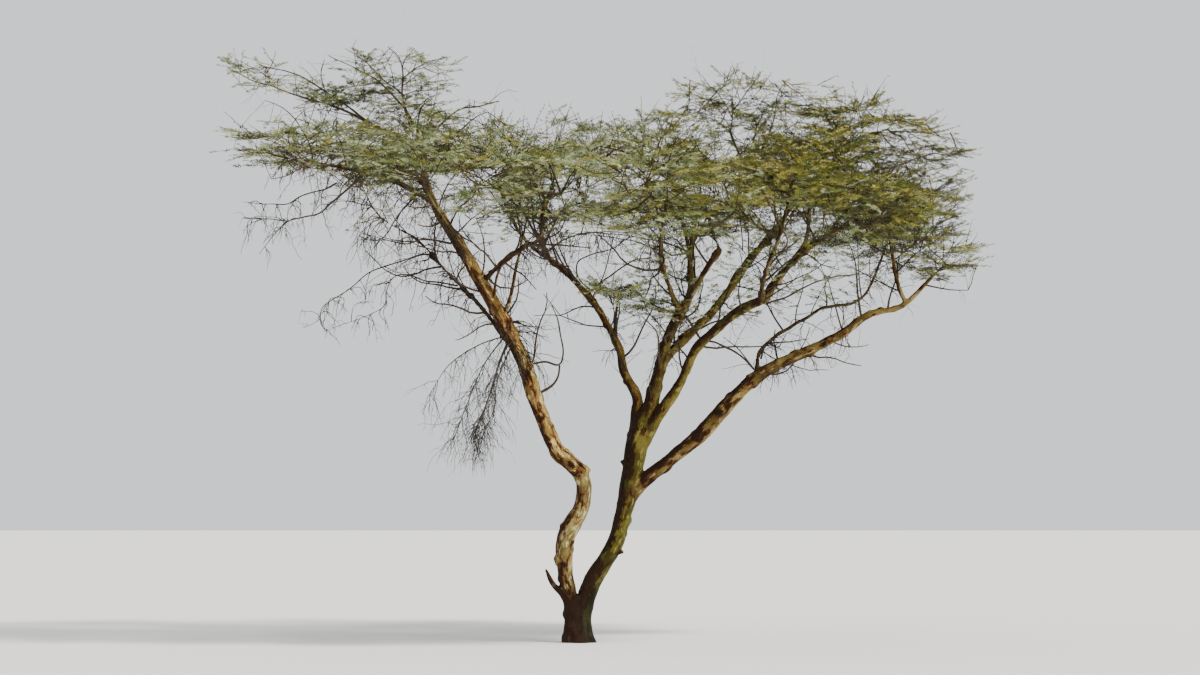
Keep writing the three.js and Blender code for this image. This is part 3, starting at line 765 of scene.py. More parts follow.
def mesh_array(mesh, attribute_name):
    values = np.empty(len(mesh.vertices) * 3, np.float32)
    mesh.vertices.foreach_get(attribute_name, values)
    return values.reshape(-1, 3).astype(float)


def relief(point):
    """How far the bark stands out at a point: slow swellings, upright ribs and small knobs."""
    swell = noise.fractal(point * 2.1, 1.0, 2.0, 3)
    ribs = noise.noise(Vector((point.x * 7, point.y * 7, point.z * 1.5)))
    knobs = max(noise.noise(point * 4.5 + Vector((7, 3, 1))) - 0.28, 0)
    rough = noise.noise(Vector((point.x * 11, point.y * 11, point.z * 3)))
    old_bark = max(0, OLD_BARK_TOP - point.z) * rough
    return SWELLINGS * swell + RIBS * ribs + KNOBS * knobs + OLD_BARK * old_bark


def add_relief(mesh):
    """Moves each corner out by the relief, but never below the ground."""
    corners = mesh_array(mesh, "co")
    push = np.array([relief(Vector(corner)) for corner in corners])
    moved = corners + mesh_array(mesh, "normal") * push[:, None]
    moved[:, 2] = np.maximum(moved[:, 2], 0)
    mesh.vertices.foreach_set("co", moved.astype(np.float32).ravel())
    mesh.update()


def cut_level(mesh):
    """Cuts the foot off level at the ground and closes it."""
    cutter = bmesh.new()
    cutter.from_mesh(mesh)
    everything = [*cutter.verts, *cutter.edges, *cutter.faces]
    ground = {"plane_co": (0, 0, 0), "plane_no": (0, 0, 1)}
    cut = bmesh.ops.bisect_plane(cutter, geom=everything, clear_inner=True, **ground)
    edges = [e for e in cut["geom_cut"] if isinstance(e, bmesh.types.BMEdge)]
    bmesh.ops.contextual_create(cutter, geom=edges)
    cutter.to_mesh(mesh)
    cutter.free()


def limb_samples(spacing):
    """Points along all the limbs, with the limb's number, the way along it and its axes at each."""
    points, numbers, along, axes = [], [], [], []
    for number, noted in enumerate([TRUNK, *LIMBS.values()]):
        path = limb_path(noted, spacing)[:, :3]
        behind = 0
        if points:
            earlier = np.linalg.norm(np.vstack(points) - path[0], axis=1)
            behind = np.concatenate(along)[np.argmin(earlier)]
        tangent = unit(np.gradient(path, axis=0))
        first = unit(np.cross(tangent, ACROSS_LIMBS))
        points.append(path)
        numbers.append(np.full(len(path), number))
        along.append(behind + np.arange(len(path)) * np.linalg.norm(path[1] - path[0]))
        axes.append(np.stack([first, np.cross(tangent, first), tangent], axis=1))
    return np.vstack(points), np.concatenate(numbers), np.concatenate(along), np.vstack(axes)


def nearest_samples(corners, points, count):
    """The numbers of the samples nearest to each corner, and their distances."""
    tree = kdtree.KDTree(len(points))
    for i, point in enumerate(points):
        tree.insert(point, i)
    tree.balance()
    near = [tree.find_n(corner, count) for corner in corners]
    return (np.array([[found[i] for found in row] for row in near]) for i in (1, 2))


def limb_looks(limbs, distances):
    """The look of each corner: tint, flaking and shade, from the limbs nearest to it."""
    looks = [LIMB_LOOKS.get(name, PLAIN_LOOK) for name in ("trunk", *LIMBS)]
    table = np.array([[*tint, dark_patching, shade] for tint, dark_patching, shade in looks])
    weights = 1 / (distances + LOOK_BLUR) ** 3
    weights /= weights.sum(axis=1, keepdims=True)
    return (weights[:, :, None] * table[limbs]).sum(axis=1)


def shading(corners, side, shade):
    """How bright the bark is at each corner, and how much it belongs to the dark foot."""
    patches = np.array([noise.noise(Vector(corner)) for corner in corners * np.array([4, 4, 1.6])])
    dark_up_to = FOOT_TOP + FOOT_SHIFT * np.clip(corners[:, 0] / 0.35, 0, 1) + FOOT_SHIFT * patches
    foot = np.clip((dark_up_to - corners[:, 2]) / FOOT_FADE, 0, 1)
    crown = np.clip((corners[:, 2] - CROWN_SHADE_FROM) / CROWN_SHADE_FADE, 0, 1)
    # Painted shade darkens the shady side, and painted light brightens the sunny side.
    darker = 1 - shade * np.clip(1.9 * side + 0.25, 0, 1)
    darker = darker * (1 - FOOT_DARKNESS * foot) * (1 - CROWN_DARKNESS * crown)
    return darker * (1 - SUNNY_GAIN * np.minimum(side, 0)), foot


def dress_bark(mesh):
    """Tells each vertex its place on the bark, and the look of the limbs nearest to it."""
    corners = mesh_array(mesh, "co")
    points, numbers, along, axes = limb_samples(LOOK_SPACING)
    near, distances = nearest_samples(corners, points, LOOK_POINTS)
    closest = near[:, 0]
    offset = np.einsum("nij,nj->ni", axes[closest], corners - points[closest])
    offset[:, 2] += along[closest]

    looks = limb_looks(numbers[near], distances)
    side = np.clip(mesh_array(mesh, "normal") @ unit(np.array(SHADY_SIDE)), -1, 1)
    brightness, foot = shading(corners, side, looks[:, 4])
    tint = looks[:, :3] * brightness[:, None]
    # The dark patches of each limb and of the foot are the bark's own; those added on the shady side are
    # painted shade.
    dark_patching = looks[:, 3] + FOOT_FLAKING * foot + PAINTED_SHADE_FLAKES * looks[:, 4] * side
    for name, kind, field, values in (
        ("bark_place", "FLOAT_VECTOR", "vector", offset),
        ("limb_tint", "FLOAT_COLOR", "color", np.column_stack([tint, np.ones(len(tint))])),
        ("dark_share", "FLOAT", "value", dark_patching),
    ):
        made = mesh.attributes.new(name, kind, "POINT")
        made.data.foreach_set(field, values.astype(np.float32).ravel())


def make_skin(material):
    skin = remeshed(joined_mesh(skin_parts()))
    cut_level(skin.data)
    add_relief(skin.data)
    dress_bark(skin.data)
    skin.data.polygons.foreach_set("use_smooth", np.full(len(skin.data.polygons), True))
    skin.data.materials.clear()
    skin.data.materials.append(material)
    return skin


def uneven(path):
    """Small bends and knots along a thin limb."""
    made = path.copy()
    for row in made[1:]:
        point = Vector(row[:3]) * 3
        row[:3] += np.array(noise.noise_vector(point)) * BEND
        row[3] *= 1 + KNOTS * noise.noise(point * 4)
    return made


def make_thin_boughs(material):
    """The limbs that are too thin for the skin."""
    thin = [noted for noted in LIMBS.values() if not in_skin(noted)]
    paths = [uneven(limb_path(noted, THIN_SPACING)) for noted in [*thin, *PALE_STRANDS]]
    piece = mesh_piece("thin_boughs", *thin_tubes(paths, THIN_SIDES), material)
    dress_bark(piece.data)
    return piece


# Twigs


def inside_tester(node):
    """A test of whether a point lies inside a closed CAD node."""
    mesh = node.data
    mesh.calc_loop_triangles()
    corners = [v.co.copy() for v in mesh.vertices]
    tree = BVHTree.FromPolygons(corners, [tuple(t.vertices) for t in mesh.loop_triangles])

    def inside(point):
        near, normal, _, _ = tree.find_nearest(point)
        return (Vector(point) - near).dot(normal) < 0

    return inside


def layered(point):
    """Draws a point's height towards the nearest of many thin, uneven layers."""
    across, up, away = as_seen(point)
    wave = LAYER_WAVE * noise.noise(Vector((across * 0.7, away * 0.2, 3.7)))
    level = round((up - wave) / LAYER_GAP) * LAYER_GAP + wave
    return place([across, up + LAYER_PULL * (level - up), away])


def openness(point):
    """How open the crown is at a point: OPEN_SKY in an opening, SMALL_GAP between clumps, or 0."""
    across, up, away = as_seen(point)
    for middle_across, middle_up, half_across, half_up in OPENINGS:
        if math.hypot((across - middle_across) / half_across, (up - middle_up) / half_up) < 1:
            return OPEN_SKY
    clump = noise.noise(Vector((across * 1.3, up * 2.3, away * 0.2)))
    return SMALL_GAP if clump < GAP_LEVEL - GAP_TREND * max(across, 0) else 0


def fill_mass(node, density):
    """Points spread through a foliage mass, in uneven layers, with few where the sky shows."""
    low, high = (np.array(corner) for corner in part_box(node.name))
    inside = inside_tester(node)
    count = int(density * np.prod(high - low))
    drawn = low + random.random((count, 3)) * (high - low)
    kept = [p for p in map(layered, drawn) if inside(p)]
    return [p for p in kept if random.random() > openness(p)]


def crown_anchors():
    """Where twigs end: the points, their height shares in their mass, and whether they bear leaves."""
    points, shares, leafy = [], [], []
    for name, (density, leafy_share) in FOLIAGE.items():
        low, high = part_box(foliage_node(name))
        for point in fill_mass(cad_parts[foliage_node(name)], density):
            share = (point[2] - low.z) / (high.z - low.z)
            points.append(point)
            shares.append(share)
            leafy.append(random.random() < leafy_share * min(1, 0.7 + share) * (1 - openness(point)))
    return np.array(points), np.array(shares), np.array(leafy)


def grow(roots, anchors):
    """Joins each anchor to the tree, always the one that is cheapest to reach next.

    The cost is the new twig's length and part of the way from its foot back to a limb.
    Returns all nodes, with the roots first, the parent of each, and its way back to a limb."""
    nodes = np.vstack([roots, anchors])
    first = len(roots)
    parents = np.full(len(nodes), -1)
    way = np.zeros(len(nodes))
    cost = np.full(len(anchors), np.inf)
    best = np.zeros(len(anchors), int)
    for i, root in enumerate(roots):
        distance = np.linalg.norm(anchors - root, axis=1)
        nearer = distance < cost
        cost[nearer], best[nearer] = distance[nearer], i
    waiting = np.ones(len(anchors), bool)
    for _ in range(len(anchors)):
        i = int(np.argmin(cost))
        node = first + i
        parents[node] = best[i]
        way[node] = way[best[i]] + np.linalg.norm(nodes[node] - nodes[best[i]])
        cost[i] = np.inf
        waiting[i] = False
        reach = np.linalg.norm(anchors - nodes[node], axis=1) + BALANCE * way[node]
        nearer = waiting & (reach < cost)
        cost[nearer], best[nearer] = reach[nearer], node
    return nodes, parents, way


def twig_radii(parents, way):
    """Radii from the tips down: each twig carries those that grow from it."""
    carried = np.zeros(len(parents))
    for node in np.argsort(-way):
        carried[node] = max(carried[node], TIP_RADIUS**PIPE_POWER)
        if parents[node] >= 0:
            carried[parents[node]] += carried[node]
    return carried ** (1 / PIPE_POWER)


def main_children(parents, radii, first):
    """The thickest child of each node, or -1 at a tip."""
    main = np.full(len(parents), -1)
    for node in range(first, len(parents)):
        parent = parents[node]
        if main[parent] < 0 or radii[node] > radii[main[parent]]:
            main[parent] = node
    return main


def straighten(nodes, parents, radii, main):
    """Draws the nodes of thick twigs into line with their neighbours, because thick wood runs smoothly."""
    inner = np.nonzero((parents >= 0) & (main >= 0))[0]
    share = np.clip((radii[inner, None] - STRAIGHT_FROM) / STRAIGHT_FADE, 0, MOST_STRAIGHT)
    for _ in range(5):
        middle = (nodes[parents[inner]] + nodes[main[inner]]) / 2
        nodes[inner] += share * (middle - nodes[inner])


def chains_of(parents, main, first):
    """Splits the tree into chains; each goes on along its thickest child."""
    chains = []
    for node in range(first, len(parents)):
        parent = parents[node]
        if parent >= first and main[parent] == node:
            continue
        chain = [parent, node]
        while main[chain[-1]] >= 0:
            chain.append(main[chain[-1]])
        chains.append(chain)
    return chains


def chain_path(chain, nodes, radii):
    """A smooth, slightly zigzag path along a chain of nodes, which sags a little."""
    points = nodes[chain]
    widths = radii[chain].copy()
    widths[0] = widths[1]
    path = smooth_path(np.column_stack([points, widths]), TWIG_SPACING)
    path[1:, :3] += random.normal(scale=TWIG_WOBBLE, size=(len(path) - 1, 3))
    length = np.linalg.norm(points[-1] - points[0])
    path[:, 2] -= TWIG_SAG * length * np.linspace(0, 1, len(path)) ** 2
    path[-1, 3] *= 0.5
    return path


def twig_mesh(paths):
    """Vertices and quads of many twigs; thicker ones have more sides."""
    vertices, faces, offset = [], [], 0
    for low, high, sides in TWIG_SIDES:
        group = [p for p in paths if low <= p[:, 3].max() < high]
        if not group:
            continue
        group_vertices, group_faces = thin_tubes(group, sides)
        vertices.append(group_vertices)
        faces.append(group_faces + offset)
        offset += len(group_vertices)
    return np.vstack(vertices), np.vstack(faces)


def branch_path(foot, heading, length, radius, lift):
    """A branch that arches upward, then flattens out where the crown begins."""
    steps = max(3, int(round(length / BRANCH_STEP)))
    line = [foot]
    for _ in range(steps):
        upward = lift
        if line[-1][2] > CROWN_FLOOR:
            heading = heading * np.array([1, 1, 0.7])
            upward = 0
        heading = unit(heading + random.normal(scale=BRANCH_WANDER, size=3) + np.array([0, 0, upward]))
        line.append(line[-1] + heading * length / steps)
    path = np.column_stack([line, radius * np.linspace(1, 0.4, steps + 1)])
    return smooth_path(path, 0.19)


def in_cad_box(points):
    low, high = (np.array(corner) for corner in cad_box)
    return bool(np.all((points > low) & (points < high)))


def branches_from(path, spacing, length, radius_share, top_radius, lift):
    """Side branches along a path, each heading to a side of it and onward."""
    made = []
    walked = random.uniform(0, spacing)
    steps = np.linalg.norm(np.diff(path[:, :3], axis=0), axis=1)
    for i, step in enumerate(steps):
        walked += step
        if walked < spacing or path[i, 2] < BRANCH_FROM:
            continue
        walked = random.uniform(-0.3, 0.3) * spacing
        onward = unit(path[i + 1, :3] - path[i, :3])
        side = np.cross(onward, random.normal(size=3))
        heading = unit(BRANCH_ONWARD * onward + unit(side) + np.array([0, 0, BRANCH_UPWARD]))
        radius = min(top_radius, radius_share * path[i, 3]) * random.uniform(0.7, 1.1)
        reach = length * random.uniform(0.6, 1.25)
        branch = branch_path(path[i, :3], heading, reach, radius, lift)
        if in_cad_box(branch[:, :3]):
            made.append(branch)
    return made


def side_branches():
    """Branches between the limbs and the leafy twigs in two orders, and finest twigs below the crown."""
    large, small, finest = [], [], []
    for name, noted in LIMBS.items():
        share = BRANCH_SHARES.get(name, 1)
        if share:
            spacing = 1 / (BRANCHES_PER_METRE * share)
            large += branches_from(limb_path(noted, LIMB_SPACING), spacing, **LIMB_BRANCHES)
    for noted in RISING_STRANDS:
        large += branches_from(limb_path(noted, STRAND_SPACING), **STRAND_BRANCHES)
    for branch in large:
        small += branches_from(branch, **SMALL_BRANCHES)
    for branch in small:
        if branch[-1, 2] < CROWN_FLOOR:
            finest += branches_from(branch, **FINEST_TWIGS)
    return large, small, finest


def crown_roots(branches):
    """Points along the upper limbs, strands and branches, from which leafy twigs grow."""
    rows = []
    for noted in [*LIMBS.values(), *STRANDS]:
        rows.extend(row[:3] for row in limb_path(noted, TWIG_SPACING) if row[2] > TWIGS_FROM)
    for branch in branches:
        rows.extend(branch[1:, :3])
    return np.array(rows)


def crown_twigs(anchors, branches):
    """Grows twigs to all anchors: their ends, the directions that they end in, and the twigs' paths."""
    roots = crown_roots(branches)
    first = len(roots)
    nodes, parents, way = grow(roots, anchors)
    radii = twig_radii(parents, way)
    main = main_children(parents, radii, first)
    straighten(nodes, parents, radii, main)
    paths = [chain_path(chain, nodes, radii) for chain in chains_of(parents, main, first)]
    return nodes[first:], unit(nodes[first:] - nodes[parents[first:]]), paths


def side_twig(path, heading, reach, radius):
    """A short twig that springs from a point of a hanging one and bends down."""
    start = path[random.integers(1, len(path) - 1), :3]
    side = unit(heading + random.normal(scale=0.8, size=3))
    bend = unit(side + np.array([0, 0, -0.5]))
    reach = reach * random.uniform(0.15, 0.45)
    tips = np.array([start, start + side * reach * 0.5, start + bend * reach])
    return np.column_stack([tips, [0.6 * radius, 0.45 * radius, 0.3 * radius]])


def hanging_twigs(feet, count, length, lean, radius):
    """Twigs that spring from points of a path, bend over and hang down, with side twigs of their own."""
    paths = []
    for _ in range(count):
        foot = feet[random.integers(len(feet)), :3]
        heading = unit(np.array([*random.normal(size=2), random.normal() * 0.5]) + lean)
        reach = length * random.uniform(0.5, 1.15)
        line = [foot]
        for _ in range(HANGING_STEPS):
            wander = random.normal(scale=HANGING_WANDER, size=3)
            heading = unit(heading + wander + np.array([0, 0, HANGING_TURN]))
            line.append(line[-1] + heading * reach / HANGING_STEPS)
        path = np.column_stack([line, np.linspace(radius, 0.4 * radius, HANGING_STEPS + 1)])
        paths += [path, *[side_twig(path, heading, reach, radius) for _ in range(SIDE_TWIGS)]]
    return paths


def drooping_twigs():
    """Bare twigs that hang from the low limbs on the left and under the crown."""
    paths = []
    for name, share, count, length, lean in DROOPING:
        path = limb_path(LIMBS[name], LIMB_SPACING)
        feet = path[int(share * len(path)) :]
        paths += hanging_twigs(feet, count, length, np.array(lean), DROOPING_RADIUS)
    for noted in HANGING_STRANDS:
        path = limb_path(noted, LIMB_SPACING)
        count = 2 * len(path) // 3
        paths += hanging_twigs(path[2:], count, FRINGE_LENGTH, np.array(FRINGE_LEAN), FRINGE_RADIUS)
    return paths


def make_dead_tangle(material):
    """Dead twigs that hang from the left bough in one tangle."""
    paths = []
    for noted, lean, count, length in TANGLE:
        main = limb_path(noted, STRAND_SPACING)
        paths += [main, *hanging_twigs(main[3:], count, length, np.array(lean), TANGLE_RADIUS)]
    return mesh_piece("dead_twigs", *twig_mesh([p for p in paths if p[:, 2].min() > TANGLE_END]), material)


# Leaves

SPRAY_LENGTH = 0.38
SPRAY_STEPS = 6
TUFT_LENGTH = 0.15
TUFT_STEPS = 3
SHOOT_LENGTH = 0.55
SHOOT_STEPS = 7
SHOOTS_FROM = 0.7  # shoots stand on twigs that end above this share of their mass's height
SHOOTS_SHARE = 0.3  # the share of those twigs that bear one
SPRAY_SIZES = (0.8, 1.25)
LOW_SIZES = (0.8, 1.2)
SHOOT_SIZES = (0.6, 1.2)
TEMPLATES = 12  # how many different sprays of each kind there are
LEAF_LENGTH = 0.106
SIDE_PINNAE = 3
PINNA_WIDTH = 0.27
STEEPEST = 0.35  # the steepest slope of a spray
SPRAY_RADII = [0.0035, 0.0018]
SHOOT_RADII = [0.008, 0.006, 0.003]
BOX_EDGE = 0.09  # how far inside the CAD box the sprays' own lines end, because their leaves are wider

# Where tone_of chooses them, the deep tone is painted shade low in each mass, and the lighter tones high in
# it are partly painted light.
TONES = {
    "pale": (0.44, 0.5, 0.28),
    "yellow": (0.315, 0.3, 0.058),
    "olive": (0.2, 0.21, 0.034),
    "green": (0.13, 0.185, 0.044),
    "grey": (0.29, 0.355, 0.195),
    "deep": (0.034, 0.04, 0.008),
}
LOW_TONES = ("deep", "green", "olive", "grey")
SHOOT_TONES = ("grey", "olive", "deep")
PAINTED_LIGHT_MIDDLE = 0.9  # where the crown gets the most painted light, in metres across
PAINTED_LIGHT_WIDTH = 2.2
PAINTED_LIGHT_GAIN = 0.35
TONES_TURN = 3.0  # where grey tones give way to yellow ones, over TONES_FADE
TONES_FADE = 1.2
CLUMP_GAIN = 0.45  # how much a clump of sprays differs in tone from the next one
TONE_SPREAD = 0.36  # how much one spray differs from the next one
# Up to which score a spray has each of the dark tones, and how much further that goes on the right.
DARK_TONES = (("deep", 0.2, 0.06), ("green", 0.36, 0.12), ("olive", 0.53, 0.22))


def leaf_shape():
    """One feathery leaf along +X in the XY plane: pointed pinnae set along its rib."""
    size = LEAF_LENGTH
    pinnae = []
    for i in range(SIDE_PINNAE):
        side = 1 if i % 2 else -1
        start = size * (0.02 + 0.22 * i)
        reach = size * (0.6 - 0.05 * i)
        tip = (start + 0.14 * size + 0.55 * reach, side * 0.85 * reach, 0.006)
        pinnae.append([(start, 0, 0), (start + PINNA_WIDTH * size, 0, 0), tip])
    end = [(0.55 * size, -0.08 * size, 0), (0.6 * size, 0.1 * size, 0), (1.2 * size, 0.01, -0.004)]
    return np.array([*pinnae, end])


def turned(points, axis_x, axis_y, axis_z, origin):
    """Points moved from their own axes to the given ones at an origin."""
    return points[..., 0:1] * axis_x + points[..., 1:2] * axis_y + points[..., 2:3] * axis_z + origin


def leaf_on_twig(foot, yaw, pitch, roll, size):
    """The triangles of one leaf that leaves its twig at the given angles."""
    forward = np.array([math.cos(yaw) * math.cos(pitch), math.sin(yaw) * math.cos(pitch), math.sin(pitch)])
    flat = unit(np.cross([0, 0, 1], forward))
    across = math.cos(roll) * flat + math.sin(roll) * np.cross(forward, flat)
    return turned(leaf_shape() * size, forward, across, np.cross(forward, across), foot)


def bent_axis(steps, length, bend_scale):
    """Points along a bent twig that runs along +X, and the share of the way that each has gone."""
    along = np.linspace(0, 1, steps + 1)
    bend, rise = random.normal(scale=bend_scale)
    return length * np.column_stack([along, bend * along**2, rise * along**2]), along


def spray_template(steps, length):
    """Leaves in two rows along a bent twig, and the twig's own path."""
    axis, along = bent_axis(steps, length, (0.12, 0.06))
    leaves = []
    for step in range(1, steps + 1):
        for side in (-1, 1):
            yaw = side * (random.uniform(0.5, 1.3) - 0.5 * along[step])
            size = random.uniform(0.8, 1.25) * (1 - 0.25 * along[step])
            pitch, roll = random.normal((0.05, 0), (0.2, 0.35))
            leaves.append(leaf_on_twig(axis[step], yaw, pitch, roll, size))
    leaves.append(leaf_on_twig(axis[-1], 0, 0.1, 0.3, 1))
    return np.array(leaves).reshape(-1, 3, 3), axis


def shoot_template():
    """A stiff shoot with small leaves held close to it, and its own path."""
    axis, _ = bent_axis(SHOOT_STEPS, SHOOT_LENGTH, (0.1, 0.1))
    leaves = []
    for step in range(1, SHOOT_STEPS + 1):
        yaw = (1 if step % 2 else -1) * random.uniform(0.2, 0.9)
        pitch, roll = random.normal(scale=(0.5, 0.8))
        leaves.append(leaf_on_twig(axis[step], yaw, pitch, roll, 0.55))
    return np.array(leaves).reshape(-1, 3, 3), axis


def levelled(directions):
    """The same directions, with steep ones laid down to a gentle slope."""
    flat = np.linalg.norm(directions[:, :2], axis=1)
    rise = np.clip(directions[:, 2], -STEEPEST * flat, STEEPEST * flat)
    return np.column_stack([directions[:, :2], rise])


def turned_inward(origins, directions, reach):
    """Turns back each direction that would carry a spray out of the CAD box."""
    low, high = (np.array(corner) for corner in cad_box)
    tips = origins + unit(directions) * reach
    outside = (tips < low + BOX_EDGE) | (tips > high - BOX_EDGE)
    return np.where(outside, -directions, directions)


def tone_of(point, share):
    """Which green a spray takes: darker low in its mass as painted shade, lighter high up and in the middle
    as painted light, greyer left, browner right.
    """
    clump = noise.noise(Vector(point) * 2.1)
    # Painted light: a lift in the middle of the crown, and the height share in the mass, which leaves the
    # low sprays in painted shade.
    middle = PAINTED_LIGHT_GAIN * math.exp(-(((point[0] - PAINTED_LIGHT_MIDDLE) / PAINTED_LIGHT_WIDTH) ** 2))
    score = share + middle + CLUMP_GAIN * clump + random.normal(scale=TONE_SPREAD)
    rightness = 1 / (1 + math.exp(-(point[0] - TONES_TURN) / TONES_FADE))
    for tone, level, shift in DARK_TONES:
        if score < level + shift * rightness:
            return tone
    if random.random() < 0.15 + 0.8 * rightness:
        return "yellow"
    return "grey" if random.random() < 0.6 else "pale"


def drawn_tones(tones, count):
    """A tone for each of a number of sprays."""
    return [tones[random.integers(len(tones))] for _ in range(count)]


def place_sprays(templates, origins, directions, sizes, tilt):
    """Leaf corners and twig line of each spray, whose flat side is nearly level."""
    forward = unit(directions)
    up = np.tile([0.0, 0.0, 1.0], (len(forward), 1)) + random.normal(scale=tilt, size=forward.shape)
    across = unit(np.cross(up, forward))
    axes = np.stack([forward, across, np.cross(forward, across)], axis=1)
    choice = random.integers(len(templates), size=len(origins))
    corners, lines = [], []
    for i, origin in enumerate(origins):
        leaves, axis = templates[choice[i]]
        corners.append(turned(leaves * sizes[i], *axes[i], origin).reshape(-1, 3))
        lines.append(turned(axis * sizes[i], *axes[i], origin))
    return corners, lines


def crown_sprays(ends, onward, shares):
    """Feet, directions, sizes and height shares of the crown's sprays, fewer where the sky shows."""
    directions = onward * np.array([1, 1, 0.22])
    directions += random.normal(scale=0.35, size=directions.shape) * np.array([1, 1, 0.15])
    directions = turned_inward(ends, levelled(directions), SPRAY_LENGTH)
    tips = ends + SPRAY_LENGTH * unit(directions)
    closed = np.array([random.random() > openness(tip) for tip in tips])
    sizes = random.uniform(*SPRAY_SIZES, closed.sum())
    return ends[closed], directions[closed], sizes, shares[closed]


def low_sprays(branches, share):
    """Feet, directions and sizes of the sprays on twigs below and above the crown.

    Those below are at the twigs' tips, those above near their feet. Low twigs on the left are dead."""
    feet, directions = [], []
    for branch in branches:
        across, _, height = branch[-1, :3]
        alive = across > DEAD_LEFT_OF or height > DEAD_BELOW
        lowest = LEAVES_FROM + LEAVES_RISE * max(0, across - LEAVES_RISE_FROM)
        under = lowest < height < CROWN_FLOOR and alive
        above = CROWN_TOP < height < STRAND_TOP
        if (under or above) and random.random() < share:
            feet.append(branch[1 if above else -1, :3])
            directions.append((branch[-1, :3] - branch[-2, :3]) * np.array([1, 1, 0.6]))
    directions = turned_inward(np.array(feet), levelled(np.array(directions)), SPRAY_LENGTH)
    return np.array(feet), directions, random.uniform(*LOW_SIZES, len(feet))


def shoot_directions(feet, onward):
    """Directions of the stiff shoots that rise from the crown's upper twigs."""
    outward = onward * np.array([1, 1, 0.5])
    outward += random.normal(scale=0.2, size=outward.shape) + np.array([0, 0, 0.4])
    return turned_inward(feet, outward, SHOOT_LENGTH)


def leaf_pieces(corners, tones):
    """One piece of joined leaves for each tone of green."""
    pieces = []
    for tone, colour in TONES.items():
        vertices = np.vstack([c for c, t in zip(corners, tones) if t == tone])
        faces = np.arange(len(vertices)).reshape(-1, 3)
        material = leaf_material("leaf_" + tone, colour)
        pieces.append(mesh_piece("leaves_" + tone, vertices, faces, material, smooth=False))
    return pieces


def make_leaves(ends, onward, shares, leafy, small, finest):
    """All leaves, the twigs that bear the sprays, and the shoots' own twigs."""
    *crown, heights = crown_sprays(ends[leafy], onward[leafy], shares[leafy])
    sprays = [spray_template(SPRAY_STEPS, SPRAY_LENGTH) for _ in range(TEMPLATES)]
    corners, lines = place_sprays(sprays, *crown, tilt=0.12)
    tones = [tone_of(foot, height) for foot, height in zip(crown[0], heights)]

    tufts = [spray_template(TUFT_STEPS, TUFT_LENGTH) for _ in range(TEMPLATES)]
    for low, templates in ((low_sprays(small, share=0.9), sprays), (low_sprays(finest, share=0.75), tufts)):
        low_corners, low_lines = place_sprays(templates, *low, tilt=0.3)
        corners += low_corners
        lines += low_lines
        tones += drawn_tones(LOW_TONES, len(low_corners))

    high = (shares > SHOOTS_FROM) & (random.random(len(shares)) < SHOOTS_SHARE)
    directions = shoot_directions(ends[high], onward[high])
    templates = [shoot_template() for _ in range(TEMPLATES)]
    sizes = random.uniform(*SHOOT_SIZES, high.sum())
    shoot_corners, shoot_lines = place_sprays(templates, ends[high], directions, sizes, tilt=0.5)
    corners += shoot_corners
    tones += drawn_tones(SHOOT_TONES, len(shoot_corners))

    spray_twigs = [np.column_stack([line[[0, -1]], SPRAY_RADII]) for line in lines]
    shoot_twigs = [np.column_stack([line[[0, 4, -1]], SHOOT_RADII]) for line in shoot_lines]
    return leaf_pieces(corners, tones), spray_twigs, shoot_twigs


def make_crown(twig_look, bare_look):
    """The leaves, and all twigs but those of the dead tangle."""
    anchors, shares, leafy = crown_anchors()
    large, small, finest = side_branches()
    ends, onward, paths = crown_twigs(anchors, large)
    leaves, spray_twigs, shoot_twigs = make_leaves(ends, onward, shares, leafy, small, finest)
    strands = [uneven(limb_path(noted, STRAND_SPACING)) for noted in STRANDS]
    twigs = [
        mesh_piece("crown_twigs", *twig_mesh(paths), twig_look),
        mesh_piece("branches", *twig_mesh(large + small + finest + strands), bare_look),
        mesh_piece("bare_twigs", *twig_mesh(drooping_twigs() + shoot_twigs), bare_look),
        mesh_piece("spray_twigs", *thin_tubes(spray_twigs, sides=3), twig_look),
    ]
    return leaves, twigs


# The stage


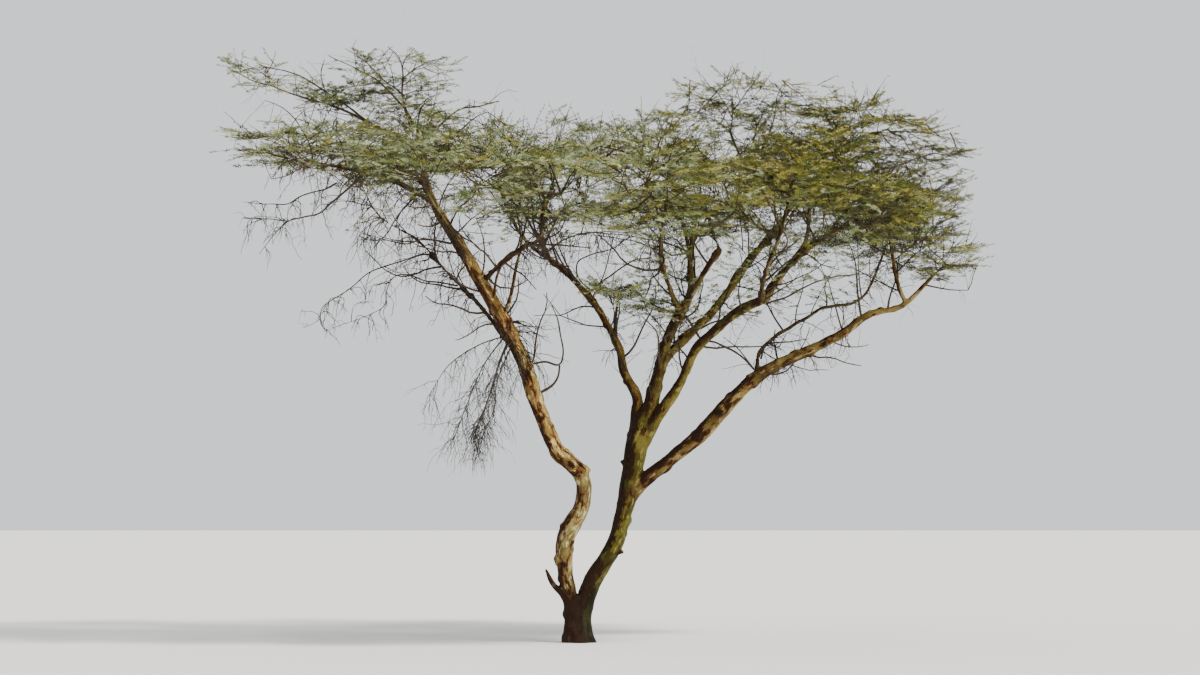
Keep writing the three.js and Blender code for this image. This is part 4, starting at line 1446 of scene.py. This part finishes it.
def make_camera():
    data = bpy.data.cameras.new("camera")
    data.lens = 86
    data.clip_end = 500
    camera = bpy.data.objects.new("camera", data)
    camera.location = (EYE_ACROSS, -EYE_DISTANCE, EYE_UP)
    target = Vector((0.45, 0, 6.15))
    camera.rotation_euler = (target - camera.location).to_track_quat("-Z", "Y").to_euler()
    bpy.context.scene.collection.objects.link(camera)
    bpy.context.scene.camera = camera


def make_light():
    sun = bpy.data.lights.new("key", "SUN")
    sun.energy = 6.0
    sun.angle = math.radians(9)
    sun.color = (1.0, 0.97, 0.91)
    key = bpy.data.objects.new("key", sun)
    key.rotation_euler = Vector((-0.58, 0.38, -0.72)).to_track_quat("-Z", "Y").to_euler()
    bpy.context.scene.collection.objects.link(key)
    world = bpy.data.worlds.new("studio")
    world.use_nodes = True
    background = world.node_tree.nodes["Background"]
    background.inputs["Color"].default_value = (0.95, 0.97, 1.0, 1)
    background.inputs["Strength"].default_value = 1.08
    bpy.context.scene.world = world


def make_floor():
    graph = Graph("floor")
    graph.feed(graph.shader, {"Base Color": (0.72, 0.71, 0.68, 1), "Roughness": 0.9})
    half = 260
    corners = [(-half, -half, 0), (half, -half, 0), (half, half, 0), (-half, half, 0)]
    floor = mesh_piece("floor", corners, [[0, 1, 2, 3]], graph.material)
    floor.location.z = -0.002


bark = bark_material()
twig_look = twig_material("twigs", (0.024, 0.017, 0.008), (0.075, 0.052, 0.019), 1.3)
bare_look = twig_material("bare_twigs", (0.028, 0.022, 0.018), (0.085, 0.06, 0.038), 1.1)
dead_look = twig_material("dead_wood", (0.05, 0.042, 0.036), (0.13, 0.115, 0.1), 2.0)

skin = make_skin(bark)
thin = make_thin_boughs(bark)
leaves, twigs = make_crown(twig_look, bare_look)
dead = make_dead_tangle(dead_look)

thin_names = [name for name, noted in LIMBS.items() if not in_skin(noted)]
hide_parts("trunk", *[name for name in LIMBS if name not in thin_names])
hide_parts(*thin_names)
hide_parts("dead_twig_tangle")
masses = [foliage_node(name) for name in FOLIAGE]
for piece in (*leaves, *twigs):
    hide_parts(*masses)
for piece in (skin, thin, dead, *leaves, *twigs):
    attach(piece, "root")

make_camera()
make_light()
make_floor()
